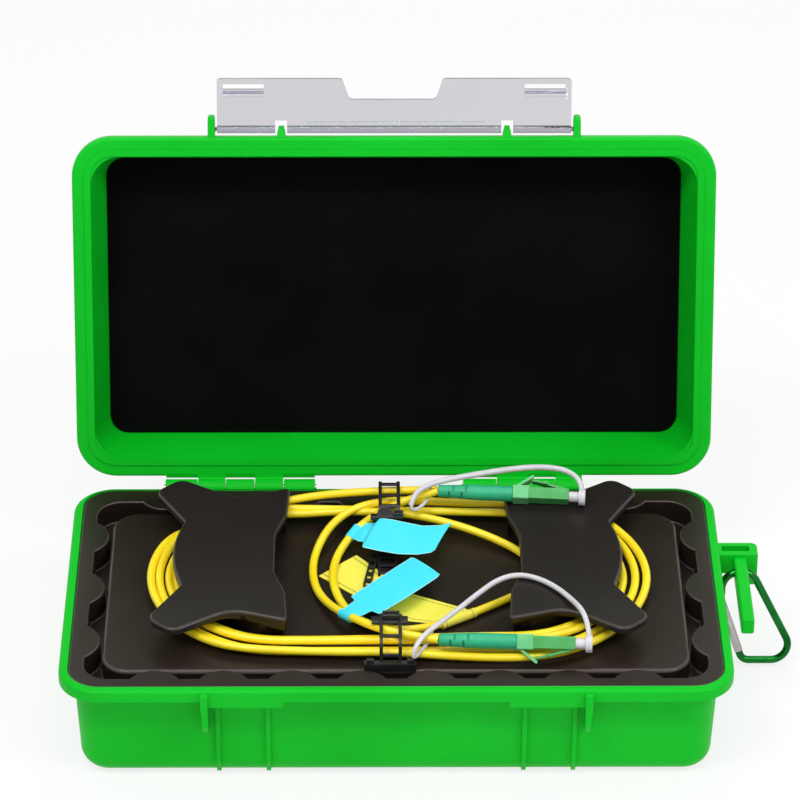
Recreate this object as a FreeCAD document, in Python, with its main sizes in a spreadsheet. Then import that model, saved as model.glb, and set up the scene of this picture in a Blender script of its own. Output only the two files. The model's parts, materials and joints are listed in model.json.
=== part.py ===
import FreeCAD, Part
import math
import os
import Sketcher
from FreeCAD import Placement, Rotation, Vector

# Launch cable in a hinged case: x runs along the case, y to its hinge, z up.
# The origin is the middle of the base's bottom face. Sizes are millimetres and degrees.

doc = FreeCAD.newDocument("launch_cable_case")
sheet = doc.addObject("Spreadsheet::Sheet", "Sizes")


class Size:
    # A number together with the expression that gives it in the document

    def __init__(self, value, text):
        self.value = float(value)
        self.text = text

    def join(self, other, sign, value):
        return Size(value, "(%s %s %s)" % (self.text, sign, as_size(other).text))

    def __add__(self, other):
        return self.join(other, "+", self.value + float(other))

    def __sub__(self, other):
        return self.join(other, "-", self.value - float(other))

    def __mul__(self, other):
        return self.join(other, "*", self.value * float(other))

    def __truediv__(self, other):
        return self.join(other, "/", self.value / float(other))

    def __neg__(self):
        return Size(-self.value, "(-1 * %s)" % self.text)

    def __float__(self):
        return self.value


def as_size(number):
    if isinstance(number, Size):
        return number
    return Size(number, "(%r)" % float(number))


size_rows = 0


def size(alias, value, note):
    global size_rows
    size_rows += 1
    sheet.set("A%d" % size_rows, alias)
    sheet.set("B%d" % size_rows, str(value))
    sheet.setAlias("B%d" % size_rows, alias)
    sheet.set("C%d" % size_rows, note)
    return Size(value, "Sizes." + alias)


# Case
case_width = size("case_width", 240, "both rims, along x")
case_depth = size("case_depth", 131, "both rims, along y")
base_height = size("base_height", 42.3, "floor face to rim face of the base")
rim_corner = size("rim_corner", 15, "corner radius of both rims")
flange_height = size("flange_height", 4.5, "height of each rim flange")
wall_inset = size("wall_inset", 5.2, "rim edge to outer wall under the flange")
wall_lean = size("wall_lean", 2, "how far the base wall leans in down to the floor")
wall = size("wall", 1.8, "wall of base and lid")
floor_thick = size("floor_thick", 3.4, "floor of the base")
floor_round = size("floor_round", 8, "outer radius round the floor")
foot_corner = size("foot_corner", 10, "corner radius of the base at its floor")
rim_face = size("rim_face", 3.2, "bare width of the base rim beside the tray")
rim_back = size("rim_back", 0.8, "bare width of the base rim at the hinge")
rim_round = size("rim_round", 1.2, "edge radius of both rims")
fin_length = size("fin_length", 18, "rim face to the bevelled end of a fin")
fin_reach = size("fin_reach", 2.2, "fins beyond the rim")
rib_thick = size("rib_thick", 1.6, "upright ribs on the front wall")
rib_foot = size("rib_foot", 7, "height at which a rib starts to slope off")

# Tray
sheet_thick = size("sheet_thick", 1, "formed sheet of the tray")
tray_clear = size("tray_clear", 0.3, "tray edge to rim")
border_drop = size("border_drop", 0.4, "rim face to tray border")
plateau_drop = size("plateau_drop", 1.6, "rim face to tray plateau")
moat_depth = size("moat_depth", 9, "tray border to moat floor")
valley_inset = size("valley_inset", 9, "rim edge to moat wall")
plateau_inset = size("plateau_inset", 14.8, "rim edge to plateau")
plateau_corner = size("plateau_corner", 10, "corner radius of the plateau")
lobe_reach = size("lobe_reach", 5, "how far a lobe stands into the moat")
side_lobe_chord = size("side_lobe_chord", 19.5, "length of a lobe on the short sides")
side_lobe_pitch = size("side_lobe_pitch", 33.5, "spacing of the side lobes")
front_lobe_chord = size("front_lobe_chord", 17.5, "length of a lobe on the long sides")
front_lobe_pitch = size("front_lobe_pitch", 24.5, "spacing of the front lobes")
plateau_round = size("plateau_round", 1.4, "edge radius of the plateau")
valley_corner = size("valley_corner", 9, "corner radius of the moat wall")
lobe_edge = size("lobe_edge", 0.5, "bevel of the border above the moat")

# Wound fibre and splices under the tray
ring_place = size("ring_place", -45, "x of the fibre ring's middle")
ring_outer = size("ring_outer", 48, "outer radius of the fibre ring")
ring_inner = size("ring_inner", 38, "inner radius of the fibre ring")
ring_height = size("ring_height", 12, "fibre ring")
sleeve_start = size("sleeve_start", 25, "x at which the splice sleeves start")
sleeve_length = size("sleeve_length", 60, "splice sleeves")
sleeve_radius = size("sleeve_radius", 1.5, "splice sleeves")

# Cable wings
wing_middle = size("wing_middle", 5.7, "y of the wings' middle")
wing_gap = size("wing_gap", 8.9, "plateau to underside of a wing")
wing_thick = size("wing_thick", 2.7, "plate of a wing")
wing_edge = size("wing_edge", 1, "edge radius of a wing's plate")
wing_inner = size("wing_inner", 40.6, "x of a wing's inner corners")
left_wing_shift = size("left_wing_shift", 1.6, "how far the left wing stands towards the middle")
leg_clear = size("leg_clear", 0.4, "coil to wing leg")
leg_thick = size("leg_thick", 4.5, "wing leg across")

# Cables
cable_dia = size("cable_dia", 3, "outer diameter of the pigtails")
coil_middle = size("coil_middle", 2.4, "y of the coils' middle")
coil_half_length = size("coil_half_length", 91, "outer half length of the outer coil")
coil_radius = size("coil_radius", 48.9, "outer end radius of the outer coil")
turn_slack = size("turn_slack", 0.2, "room round a turn in its coil")
coil_lift = size("coil_lift", 1.1, "plateau to the underside of the outer coil in front")
coil_tilt = size("coil_tilt", 4.2, "rise of the outer coil towards the hinge")
inner_coil_lift = size("inner_coil_lift", 2.7, "plateau to the underside of the inner coil")
coil_side_gap = size("coil_side_gap", 0.3, "between the two coils")

# Hinge and lid
hinge_back = size("hinge_back", 3.6, "rim edge to hinge pin")
hinge_drop = size("hinge_drop", 2.2, "base rim face to hinge pin")
knuckle_radius = size("knuckle_radius", 3.2, "outside of the hinge knuckles")
pin_radius = size("pin_radius", 1.2, "hinge pin")
pin_play = size("pin_play", 0.05, "pin to knuckle bore, on the radius")
knuckle_gap = size("knuckle_gap", 0.3, "between knuckles")
lid_gap = size("lid_gap", 0.4, "between the rims of the closed case")
lid_height = size("lid_height", 26, "rim face to roof of the lid")
roof_thick = size("roof_thick", 2.2, "roof of the lid")
roof_round = size("roof_round", 4.5, "outer radius round the roof")
lid_lean = size("lid_lean", 5.2, "how far the lid wall leans in up to the roof")
open_angle = size("open_angle", 106.5, "lid from closed to open")
foam_thick = size("foam_thick", 4.8, "lid foam")
foam_clear = size("foam_clear", 0.15, "foam edge to lid wall")
lid_corner = size("lid_corner", 11.5, "corner radius of the lid's hollow at its rim")
seal_inset = size("seal_inset", 4.5, "rim edge to the lid's seal ridge")
seal_width = size("seal_width", 2.4, "lid seal ridge")
seal_height = size("seal_height", 0.5, "lid seal ridge")

# Latch and its seats
latch_width = size("latch_width", 131.7, "latch along x")
latch_reach = size("latch_reach", 21, "latch pivot to free edge")
latch_thick = size("latch_thick", 1.8, "latch plate")
latch_corner = size("latch_corner", 2, "corner radius of the latch")
latch_rib_half = size("latch_rib_half", 34, "half length of the rib on the latch")
latch_rib_place = size("latch_rib_place", 6.2, "latch pivot to the rib")
latch_rib_width = size("latch_rib_width", 0.8, "rib on the latch, across and high")
lug_slot_depth = size("lug_slot_depth", 7.2, "latch pivot to the end of a lug slot")
latch_out = size("latch_out", 2.3, "rim edge to latch pivot")
latch_rise = size("latch_rise", 5, "lid rim face to latch pivot")
barrel_radius = size("barrel_radius", 1.6, "rolled pivot edge of the latch")
trunnion_radius = size("trunnion_radius", 0.8, "latch trunnions")
ear_middle = size("ear_middle", 68, "x of the ears and fins")
ear_thick = size("ear_thick", 2.6, "ears and fins")
ear_reach = size("ear_reach", 7.5, "ear beyond the lid rim")
ear_round = size("ear_round", 0.9, "edge radius of the ears")
lug_middle = size("lug_middle", 42, "x of the small lid lugs")
lug_width = size("lug_width", 3.2, "small lid lugs")
lug_slot_play = size("lug_slot_play", 0.6, "small lug to latch slot, each side")
window_start = size("window_start", 48.4, "inner edge of a latch window")
window_width = size("window_width", 15.2, "latch windows along x")
window_height = size("window_height", 2, "latch windows")
hook_height = size("hook_height", 2, "latch hooks")
hook_reach = size("hook_reach", 2, "latch hooks towards the base")
hook_play = size("hook_play", 0.25, "lip to hook, closed")
lip_drop = size("lip_drop", 7, "rim face to underside of the latch lips")
lip_start = size("lip_start", 40, "inner end of a latch lip")
notch_half = size("notch_half", 17.5, "half width of the finger notch")
notch_depth = size("notch_depth", 6.5, "finger notch in the latch")

# Carrying bar and snap hook
bar_out = size("bar_out", 7.6, "rim edge to the middle of the carrying bar")
bar_width = size("bar_width", 4.7, "carrying bar along x")
bar_tall = size("bar_tall", 6.5, "carrying bar along z")
bar_drop = size("bar_drop", 2, "rim face to top of the carrying bar")
bar_hole = size("bar_hole", 2.1, "hole in the carrying bar, radius")
bar_front = size("bar_front", -19, "free end of the carrying bar")
bracket_front = size("bracket_front", 21, "front face of the bracket")
bracket_thick = size("bracket_thick", 8, "bracket along y")
bracket_out = size("bracket_out", 4.2, "bracket beyond the bar")
bracket_wall = size("bracket_wall", 3, "outer leg of the bracket and depth of its recess")
bracket_leg = size("bracket_leg", 5, "outer leg below the bracket")
bracket_round = size("bracket_round", 2.4, "rear corner of the bracket")
bar_round = size("bar_round", 0.9, "edge radius of the carrying bar")
rod_dia = size("rod_dia", 2.8, "rod of the snap hook")
hook_eye = size("hook_eye", 6.8, "bend of the rod in the bar's hole")
hook_place = size("hook_place", 16.5, "y of the hole in the bar")
hook_tilt = size("hook_tilt", 12, "forward tilt of the snap hook")
gate_dia = size("gate_dia", 3.2, "gate of the snap hook")
gate_gap = size("gate_gap", 0.3, "gate to rod ends")

# Plugs
boot_length = size("boot_length", 27.9, "strain relief of a plug")
boot_rear_radius = size("boot_rear_radius", 2.25, "strain relief at the cable")
boot_front_radius = size("boot_front_radius", 2.85, "strain relief at the plug")
slit_step = size("slit_step", 4.6, "spacing of the slits in a strain relief")
clip_length = size("clip_length", 5.8, "rear clip of a plug")
clip_side = size("clip_side", 5.6, "rear clip across")
plug_length = size("plug_length", 14.9, "plug housing")
plug_side = size("plug_side", 4.7, "plug housing across")
plug_bore = size("plug_bore", 1.7, "front bore of the plug housing, radius")
ferrule_radius = size("ferrule_radius", 0.625, "ceramic ferrule")
crimp_radius = size("crimp_radius", 1.9, "crimp sleeve")
crimp_in_boot = size("crimp_in_boot", 9, "crimp sleeve inside the strain relief")
crimp_in_clip = size("crimp_in_clip", 3, "crimp sleeve inside the rear clip")
ferrule_root = size("ferrule_root", 2, "rear face of the plug housing to the ferrule")
socket_depth = size("socket_depth", 5, "rear face of the plug housing to its front bore")
lever_width = size("lever_width", 2.6, "latch lever of a plug")
trigger_width = size("trigger_width", 3.2, "trigger of a rear clip")
piece_play = size("piece_play", 0.05, "between fitted pieces of a plug")
cap_neck = size("cap_neck", 3.7, "dust cap between plug and flange")
cap_flange = size("cap_flange", 2.4, "dust cap flange along the plug")
cap_flange_radius = size("cap_flange_radius", 3.1, "dust cap flange")
cap_neck_radius = size("cap_neck_radius", 1.95, "dust cap between plug and flange")
cap_depth = size("cap_depth", 2.5, "bottom of the plug's front bore to the dust cap")
strap_dia = size("strap_dia", 1.8, "dust cap strap")

# Cable ties
tie_width = size("tie_width", 8.7, "ladder tie along x")
tie_middle = size("tie_middle", -2.1, "x of the ladder ties")
tie_thick = size("tie_thick", 0.9, "ladder strap")
tie_rail = size("tie_rail", 1, "rails and rungs of the ladder")
tie_step = size("tie_step", 5.2, "rung spacing")
tie_corner = size("tie_corner", 2, "inner radius of the ladder loop")
tie_lift = size("tie_lift", 0.1, "tray to the ladder loop")
tail_lift = size("tail_lift", 0.5, "ladder loop to its tail")
foot_height = size("foot_height", 3.2, "foot of the front tie")
post_height = size("post_height", 1.1, "posts on the foot")

# Labels
label_thick = size("label_thick", 0.3, "labels")

doc.recompute()

# Levels and edges that several pieces share
half_width = case_width / 2
half_depth = case_depth / 2
rim_z = base_height
flange_z = base_height - flange_height
border_z = base_height - border_drop
seat_z = border_z - sheet_thick
plateau_z = base_height - plateau_drop
hinge_y = half_depth + hinge_back
hinge_z = base_height - hinge_drop
lean_per_mm = wall_lean / flange_z
lid_rim = hinge_drop + lid_gap
cavity_inset = wall_inset + wall
bar_middle = half_width + bar_out
bar_top = base_height - bar_drop
coil_band = (cable_dia + turn_slack) * 2
coil_height = cable_dia + turn_slack
seat_half_y = half_depth - (rim_face + rim_back) / 2
seat_middle_y = (rim_face - rim_back) / 2

sub_parts = []


def keep(feature, label):
    feature.Label = label
    sub_parts.append(feature)
    return feature


def plane(body, role):
    return [item for item in body.Origin.OriginFeatures if item.Role == role][0]


def new_body(label):
    return keep(doc.addObject("PartDesign::Body", label), label)


def sketch_on(body, role, height=0):
    sketch = body.newObject("Sketcher::SketchObject", "Sketch")
    sketch.AttachmentSupport = [(plane(body, role), "")]
    sketch.MapMode = "FlatFace"
    sketch.setExpression("AttachmentOffset.Base.z", as_size(height).text)
    return sketch


def hold(sketch, constraint, number):
    index = sketch.addConstraint(constraint)
    sketch.setExpression("Constraints[%d]" % index, as_size(number).text)


def hold_point(sketch, edge, end, x, y):
    hold(sketch, Sketcher.Constraint("DistanceX", -1, 1, edge, end, float(x)), x)
    hold(sketch, Sketcher.Constraint("DistanceY", -1, 1, edge, end, float(y)), y)


def add_outline(sketch, points):
    first = sketch.GeometryCount
    count = len(points)
    ends = [Vector(float(x), float(y), 0) for x, y in points]
    for i in range(count):
        sketch.addGeometry(Part.LineSegment(ends[i], ends[(i + 1) % count]))
    for i in range(count):
        sketch.addConstraint(Sketcher.Constraint("Coincident", first + i, 2, first + (i + 1) % count, 1))
    for i, (x, y) in enumerate(points):
        hold_point(sketch, first + i, 1, x, y)
    return sketch


def add_box(sketch, low_x, low_y, high_x, high_y):
    return add_outline(sketch, [(low_x, low_y), (high_x, low_y), (high_x, high_y), (low_x, high_y)])


def add_circle(sketch, x, y, radius):
    edge = sketch.addGeometry(Part.Circle(Vector(float(x), float(y), 0), Vector(0, 0, 1), float(radius)))
    hold_point(sketch, edge, 3, x, y)
    hold(sketch, Sketcher.Constraint("Radius", edge, float(radius)), radius)
    return sketch


def add_round_box(sketch, half_x, half_y, radius, middle_x=0, middle_y=0):
    # A box about its middle, its corners rounded by tangent arcs
    first = sketch.GeometryCount
    x, y, r = float(half_x) - float(radius), float(half_y) - float(radius), float(radius)
    about = Vector(float(middle_x), float(middle_y), 0)
    quarter = math.pi / 2
    corners = ((1, -1, -1), (1, 1, 0), (-1, 1, 1), (-1, -1, 2))
    for sign_x, sign_y, turn in corners:
        centre = about + Vector(sign_x * x, sign_y * y, 0)
        circle = Part.Circle(centre, Vector(0, 0, 1), r)
        sketch.addGeometry(Part.ArcOfCircle(circle, turn * quarter, (turn + 1) * quarter))
    for i in range(4):
        start = sketch.Geometry[first + i].EndPoint
        end = sketch.Geometry[first + (i + 1) % 4].StartPoint
        sketch.addGeometry(Part.LineSegment(start, end))
    for i in range(4):
        sketch.addConstraint(Sketcher.Constraint("Tangent", first + i, 2, first + 4 + i, 1))
        sketch.addConstraint(Sketcher.Constraint("Tangent", first + 4 + i, 2, first + (i + 1) % 4, 1))
    for i, (sign_x, sign_y, turn) in enumerate(corners):
        centre_x = as_size(middle_x) + (as_size(half_x) - radius) * sign_x
        centre_y = as_size(middle_y) + (as_size(half_y) - radius) * sign_y
        hold_point(sketch, first + i, 3, centre_x, centre_y)
        if i:
            sketch.addConstraint(Sketcher.Constraint("Equal", first, first + i))
    hold(sketch, Sketcher.Constraint("Radius", first, r), radius)
    return sketch


def add_lobe(sketch, run, centre, radius):
    # Three runs through four points, closed by an arc between the two inner ones
    first = sketch.GeometryCount
    ends = [Vector(float(x), float(y), 0) for x, y in run]
    about = Vector(float(centre[0]), float(centre[1]), 0)
    for start, end in ((1, 0), (0, 3), (3, 2)):
        sketch.addGeometry(Part.LineSegment(ends[start], ends[end]))
    spokes = [math.atan2((end - about).y, (end - about).x) for end in (ends[2], ends[1])]
    anticlockwise = (ends[2] - about).cross(ends[1] - about).z > 0
    if not anticlockwise:
        spokes.reverse()
    if spokes[1] < spokes[0]:
        spokes[1] += 2 * math.pi
    circle = Part.Circle(about, Vector(0, 0, 1), float(radius))
    sketch.addGeometry(Part.ArcOfCircle(circle, spokes[0], spokes[1]))
    begin, finish = (1, 2) if anticlockwise else (2, 1)
    sketch.addConstraint(Sketcher.Constraint("Coincident", first, 2, first + 1, 1))
    sketch.addConstraint(Sketcher.Constraint("Coincident", first + 1, 2, first + 2, 1))
    sketch.addConstraint(Sketcher.Constraint("Coincident", first + 2, 2, first + 3, begin))
    sketch.addConstraint(Sketcher.Constraint("Coincident", first + 3, finish, first, 1))
    hold_point(sketch, first, 1, *run[1])
    hold_point(sketch, first, 2, *run[0])
    hold_point(sketch, first + 2, 1, *run[3])
    hold_point(sketch, first + 2, 2, *run[2])
    hold(sketch, Sketcher.Constraint("Radius", first + 3, float(radius)), radius)
    return sketch


def add_racetrack(sketch, half_straight, middle_y, radius):
    # Two straights joined by half circles
    first = sketch.GeometryCount
    x, y, r = float(half_straight), float(middle_y), float(radius)
    up = Vector(0, 0, 1)
    quarter = math.pi / 2
    right = Part.Circle(Vector(x, y, 0), up, r)
    left = Part.Circle(Vector(-x, y, 0), up, r)
    sketch.addGeometry(Part.LineSegment(Vector(-x, y - r, 0), Vector(x, y - r, 0)))
    sketch.addGeometry(Part.ArcOfCircle(right, -quarter, quarter))
    sketch.addGeometry(Part.LineSegment(Vector(x, y + r, 0), Vector(-x, y + r, 0)))
    sketch.addGeometry(Part.ArcOfCircle(left, quarter, 3 * quarter))
    for edge, following in ((0, 1), (1, 2), (2, 3), (3, 0)):
        sketch.addConstraint(Sketcher.Constraint("Tangent", first + edge, 2, first + following, 1))
    hold_point(sketch, first + 1, 3, half_straight, middle_y)
    hold_point(sketch, first + 3, 3, -as_size(half_straight), middle_y)
    sketch.addConstraint(Sketcher.Constraint("Equal", first + 1, first + 3))
    hold(sketch, Sketcher.Constraint("Radius", first + 1, r), radius)
    return sketch


def grow(body, kind, sketch, length, backwards=False, lean=0, middle=False):
    # A pad or a pocket of the sketch
    feature = body.newObject("PartDesign::" + kind, kind)
    feature.Profile = sketch
    feature.setExpression("Length", as_size(length).text)
    feature.Reversed = backwards
    feature.Midplane = middle
    if float(lean):
        feature.setExpression("TaperAngle", as_size(lean).text)
    doc.recompute()
    return feature


def pad(body, sketch, length, **options):
    return grow(body, "Pad", sketch, length, **options)


def pocket(body, sketch, length, **options):
    before = body.Shape.Volume
    feature = grow(body, "Pocket", sketch, length, **options)
    if body.Shape.Volume > before - 1e-6:
        raise RuntimeError("a pocket in %s cuts nothing" % body.Label)
    return feature


def round_edges(body, radius, wanted, flat=False):
    # Fillets, or where flat chamfers, the edges of the body for which wanted(edge) holds
    names = ["Edge%d" % (i + 1) for i, edge in enumerate(body.Shape.Edges) if wanted(edge)]
    if not names:
        raise RuntimeError("no edge to round in %s" % body.Label)
    shaped = body.Tip
    kind = "Chamfer" if flat else "Fillet"
    feature = body.newObject("PartDesign::" + kind, kind)
    feature.Base = (shaped, names)
    feature.setExpression("Size" if flat else "Radius", as_size(radius).text)
    doc.recompute()
    return feature


def ends_of(edge):
    return [vertex.Point for vertex in edge.Vertexes]


def upright_at(places, near=0.05, steep=0.8):
    # Picks straight upright edges that pass one of the x, y places at either end
    def wanted(edge):
        ends = ends_of(edge)
        if len(ends) != 2:
            return False
        span = ends[1] - ends[0]
        if abs(span.Length - edge.Length) > 0.01 or abs(span.z) < steep * span.Length:
            return False
        return any(math.hypot(end.x - x, end.y - y) < near for end in ends for x, y in places)
    return wanted


def level_at(z, near=0.01):
    # Picks edges that lie at one height
    def wanted(edge):
        box = edge.BoundBox
        return abs(box.ZMin - z) < near and abs(box.ZMax - z) < near
    return wanted


def mirror(body, features, role):
    feature = body.newObject("PartDesign::Mirrored", "Mirrored")
    feature.Originals = features
    feature.MirrorPlane = (plane(body, role), [""])
    body.Tip = feature
    doc.recompute()
    return feature


def repeat(body, features, axis_role, length, count):
    feature = body.newObject("PartDesign::LinearPattern", "LinearPattern")
    feature.Originals = features
    axis = [item for item in body.Origin.OriginFeatures if item.Role == axis_role][0]
    feature.Direction = (axis, [""])
    feature.setExpression("Length", as_size(length).text)
    feature.Occurrences = count
    body.Tip = feature
    doc.recompute()
    return feature


# Hinge knuckles as (start x, end x), alternating base and lid from the left of each group
left_knuckles = [(-86.6, -74.4), (-74.4, -63.8), (-63.8, -52.8), (-52.8, -41.9), (-41.9, -29.8)]
right_knuckles = [(26, 38.9), (38.9, 51.3), (51.3, 61.1), (61.1, 71.4)]
knuckle_groups = (left_knuckles, right_knuckles)


def knuckle(body, span, pin_y, pin_z, web):
    # A barrel round the pin with a web to the rim, then its bore
    start = as_size(span[0]) + knuckle_gap / 2
    length = as_size(span[1] - span[0]) - knuckle_gap
    pad(body, add_outline(sketch_on(body, "YZ_Plane", start), web), length)
    pad(body, add_circle(sketch_on(body, "YZ_Plane", start), pin_y, pin_z, knuckle_radius), length)


def make_base():
    body = new_body("base_shell")
    foot_x = half_width - wall_inset - wall_lean
    foot_y = half_depth - wall_inset - wall_lean
    lean = Size(math.degrees(math.atan(float(lean_per_mm))), "atan(%s)" % lean_per_mm.text)
    pad(body, add_round_box(sketch_on(body, "XY_Plane"), foot_x, foot_y, foot_corner), flange_z, lean=lean)
    round_edges(body, floor_round, level_at(0))
    rim = sketch_on(body, "XY_Plane", flange_z)
    pad(body, add_round_box(rim, half_width, half_depth, rim_corner), flange_height)
    round_edges(body, rim_round, level_at(float(rim_z)))
    seat = sketch_on(body, "XY_Plane", rim_z)
    add_round_box(seat, half_width - rim_face, seat_half_y, rim_corner - rim_face, 0, seat_middle_y)
    pocket(body, seat, rim_z - seat_z)
    mouth = sketch_on(body, "XY_Plane", seat_z)
    mouth_corner = foot_corner + wall_lean - wall
    add_round_box(mouth, half_width - cavity_inset, half_depth - cavity_inset, mouth_corner)
    pocket(body, mouth, seat_z - floor_thick, lean=-lean)
    round_edges(body, floor_round - wall, level_at(float(floor_thick)))

    web = [(half_depth - 1, hinge_z - knuckle_radius), (hinge_y, hinge_z - knuckle_radius),
           (hinge_y, hinge_z + 1.4), (half_depth - 1, hinge_z + 1.4)]
    for group in knuckle_groups:
        for span in group[0::2]:
            knuckle(body, span, hinge_y, hinge_z, web)
    bore = add_circle(sketch_on(body, "YZ_Plane"), hinge_y, hinge_z, pin_radius + pin_play)
    pocket(body, bore, case_width, middle=True)

    # Latch lips, guide fins and ribs on the front, mirrored to the other half
    front = -half_depth
    wall_front = front + wall_inset
    lip = pad(body, add_box(sketch_on(body, "XZ_Plane", half_depth), lip_start, rim_z - lip_drop,
                            ear_middle, flange_z), wall_inset + 0.5, backwards=True)
    fin_low = rim_z - fin_length
    fin_outline = [(wall_front + 1.4, fin_low - 3), (wall_front + 1.2, flange_z + 0.5),
                   (front + 2, flange_z + 0.5), (front + 2, rim_z - 1), (front - fin_reach, rim_z - 1),
                   (front - fin_reach, fin_low + 4), (front + 0.4, fin_low)]
    fin = pad(body, add_outline(sketch_on(body, "YZ_Plane", ear_middle - ear_thick / 2), fin_outline),
              ear_thick)
    fin_side = ear_middle + ear_thick / 2
    taper = [(fin_side, flange_z - 1), (fin_side, fin_low - 3), (fin_side - 1.2, fin_low - 3)]
    fin_taper = pocket(body, add_outline(sketch_on(body, "XZ_Plane", half_depth - wall_inset), taper), 8,
                       backwards=True)
    foot_front = wall_front + wall_lean
    rib_top = rim_z - lip_drop + 0.5
    rib_outline = [(wall_front + 0.6, rib_top), (wall_front - 1.4, rib_top), (foot_front - 1.7, rib_foot),
                   (foot_front + 1.4, 1.4), (foot_front + 4, 1.6), (foot_front + 0.6, rib_foot)]
    ribs = []
    for rib_x in (45.6, 63.4):
        rib_side = sketch_on(body, "YZ_Plane", rib_x - float(rib_thick) / 2)
        ribs.append(pad(body, add_outline(rib_side, rib_outline), rib_thick))
    mirror(body, [lip, fin, fin_taper] + ribs, "YZ_Plane")

    # Bracket with a recessed top, its outer leg, and the bar that runs forward from it
    bracket_low = bar_top - 7
    bracket_high = bar_top + 1.2
    bracket_back = bracket_front + bracket_thick
    outer_x = bar_middle + bar_width / 2 + bracket_out
    root_x = half_width - wall_inset - 0.5
    block = [(root_x, bracket_low), (outer_x, bracket_low), (outer_x, bracket_high),
             (half_width - 2, bracket_high), (half_width - 2, flange_z + 0.5), (root_x, flange_z + 0.5)]
    pad(body, add_outline(sketch_on(body, "XZ_Plane", -bracket_front), block), bracket_thick, backwards=True)
    pad(body, add_box(sketch_on(body, "XZ_Plane", -bracket_front), outer_x - bracket_wall,
                      bracket_low - bracket_leg, outer_x, bracket_low), bracket_thick - 3, backwards=True)
    recess = sketch_on(body, "XY_Plane", bracket_high)
    add_box(recess, half_width + 1, bracket_front + 2.6, outer_x - bracket_wall, bracket_back - 2)
    pocket(body, recess, bracket_wall)
    corner_round = upright_at([(float(outer_x), float(bracket_back))])
    round_edges(body, bracket_round, corner_round)
    bar_low = bar_top - bar_tall
    bar_section = add_box(sketch_on(body, "XZ_Plane", -bracket_front), bar_middle - bar_width / 2, bar_low,
                          bar_middle + bar_width / 2, bar_top)
    pad(body, bar_section, bracket_front - bar_front)

    def bar_edge(edge):
        box = edge.BoundBox
        inside_x = abs(box.Center.x - float(bar_middle)) < float(bar_width) / 2 + 0.01
        inside_y = float(bar_front) - 0.01 < box.YMin and box.YMax < float(bracket_front) + 0.01
        inside_z = float(bar_low) - 0.01 < box.ZMin and box.ZMax < float(bar_top) + 0.01
        at_root = box.YMin > float(bracket_front) - 0.01
        return inside_x and inside_y and inside_z and not at_root
    round_edges(body, bar_round, bar_edge)
    hole = sketch_on(body, "YZ_Plane", bar_middle)
    pocket(body, add_circle(hole, hook_place, bar_top - bar_tall / 2, bar_hole), bar_width + 1, middle=True)
    return body


def make_tray():
    body = new_body("tray")
    moat_z = border_z - moat_depth
    edge_inset = rim_face + tray_clear
    trough_inset = valley_inset - sheet_thick
    under_inset = plateau_inset + sheet_thick

    def slab(height, inset, corner):
        profile = sketch_on(body, "XY_Plane", height)
        return add_round_box(profile, half_width - inset, half_depth - inset, corner)
    edge = sketch_on(body, "XY_Plane", seat_z)
    add_round_box(edge, half_width - edge_inset, seat_half_y - tray_clear, rim_corner - edge_inset, 0,
                  seat_middle_y)
    pad(body, edge, sheet_thick)
    pad(body, slab(moat_z - sheet_thick, trough_inset, valley_corner + sheet_thick), moat_depth)
    pocket(body, slab(border_z, valley_inset, valley_corner), moat_depth)
    pad(body, slab(moat_z - sheet_thick, plateau_inset, plateau_corner), plateau_z - moat_z + sheet_thick)

    def plateau_rim(edge):
        return level_at(float(plateau_z))(edge)
    round_edges(body, plateau_round, plateau_rim)
    under = slab(moat_z - sheet_thick, under_inset, plateau_corner - sheet_thick)
    pocket(body, under, plateau_z - moat_z, backwards=True)

    # Round lobes from the moat wall towards the plateau, as high as the border
    def lobes(chord, valley, side, role, pitch, count):
        half = chord / 2
        radius = (half * half + lobe_reach * lobe_reach) / (lobe_reach * 2)
        start = -pitch * (count - 1) / 2
        root = valley + sheet_thick / 2
        middle = valley - lobe_reach + radius
        run = [(start - half, root), (start - half, valley), (start + half, valley), (start + half, root)]
        profile = sketch_on(body, "XY_Plane", moat_z - sheet_thick / 2)
        if role == "X_Axis":
            add_lobe(profile, [(x, y * side) for x, y in run], (start, middle * side), radius)
        else:
            add_lobe(profile, [(y * side, x) for x, y in run], (middle * side, start), radius)
        lobe = pad(body, profile, moat_depth + sheet_thick / 2)
        repeat(body, [lobe], role, pitch * (count - 1), count)
    for side in (-1, 1):
        lobes(front_lobe_chord, half_depth - valley_inset, side, "X_Axis", front_lobe_pitch, 8)
        lobes(side_lobe_chord, half_width - valley_inset, side, "Y_Axis", side_lobe_pitch, 3)
    reach_x = float(half_width - valley_inset) + 0.1
    reach_y = float(half_depth - valley_inset) + 0.1

    def border_edge(edge):
        box = edge.BoundBox
        inside_x = max(-box.XMin, box.XMax) < reach_x
        inside_y = max(-box.YMin, box.YMax) < reach_y
        return inside_x and inside_y and level_at(float(border_z))(edge)
    round_edges(body, lobe_edge, border_edge, flat=True)
    return body


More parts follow.
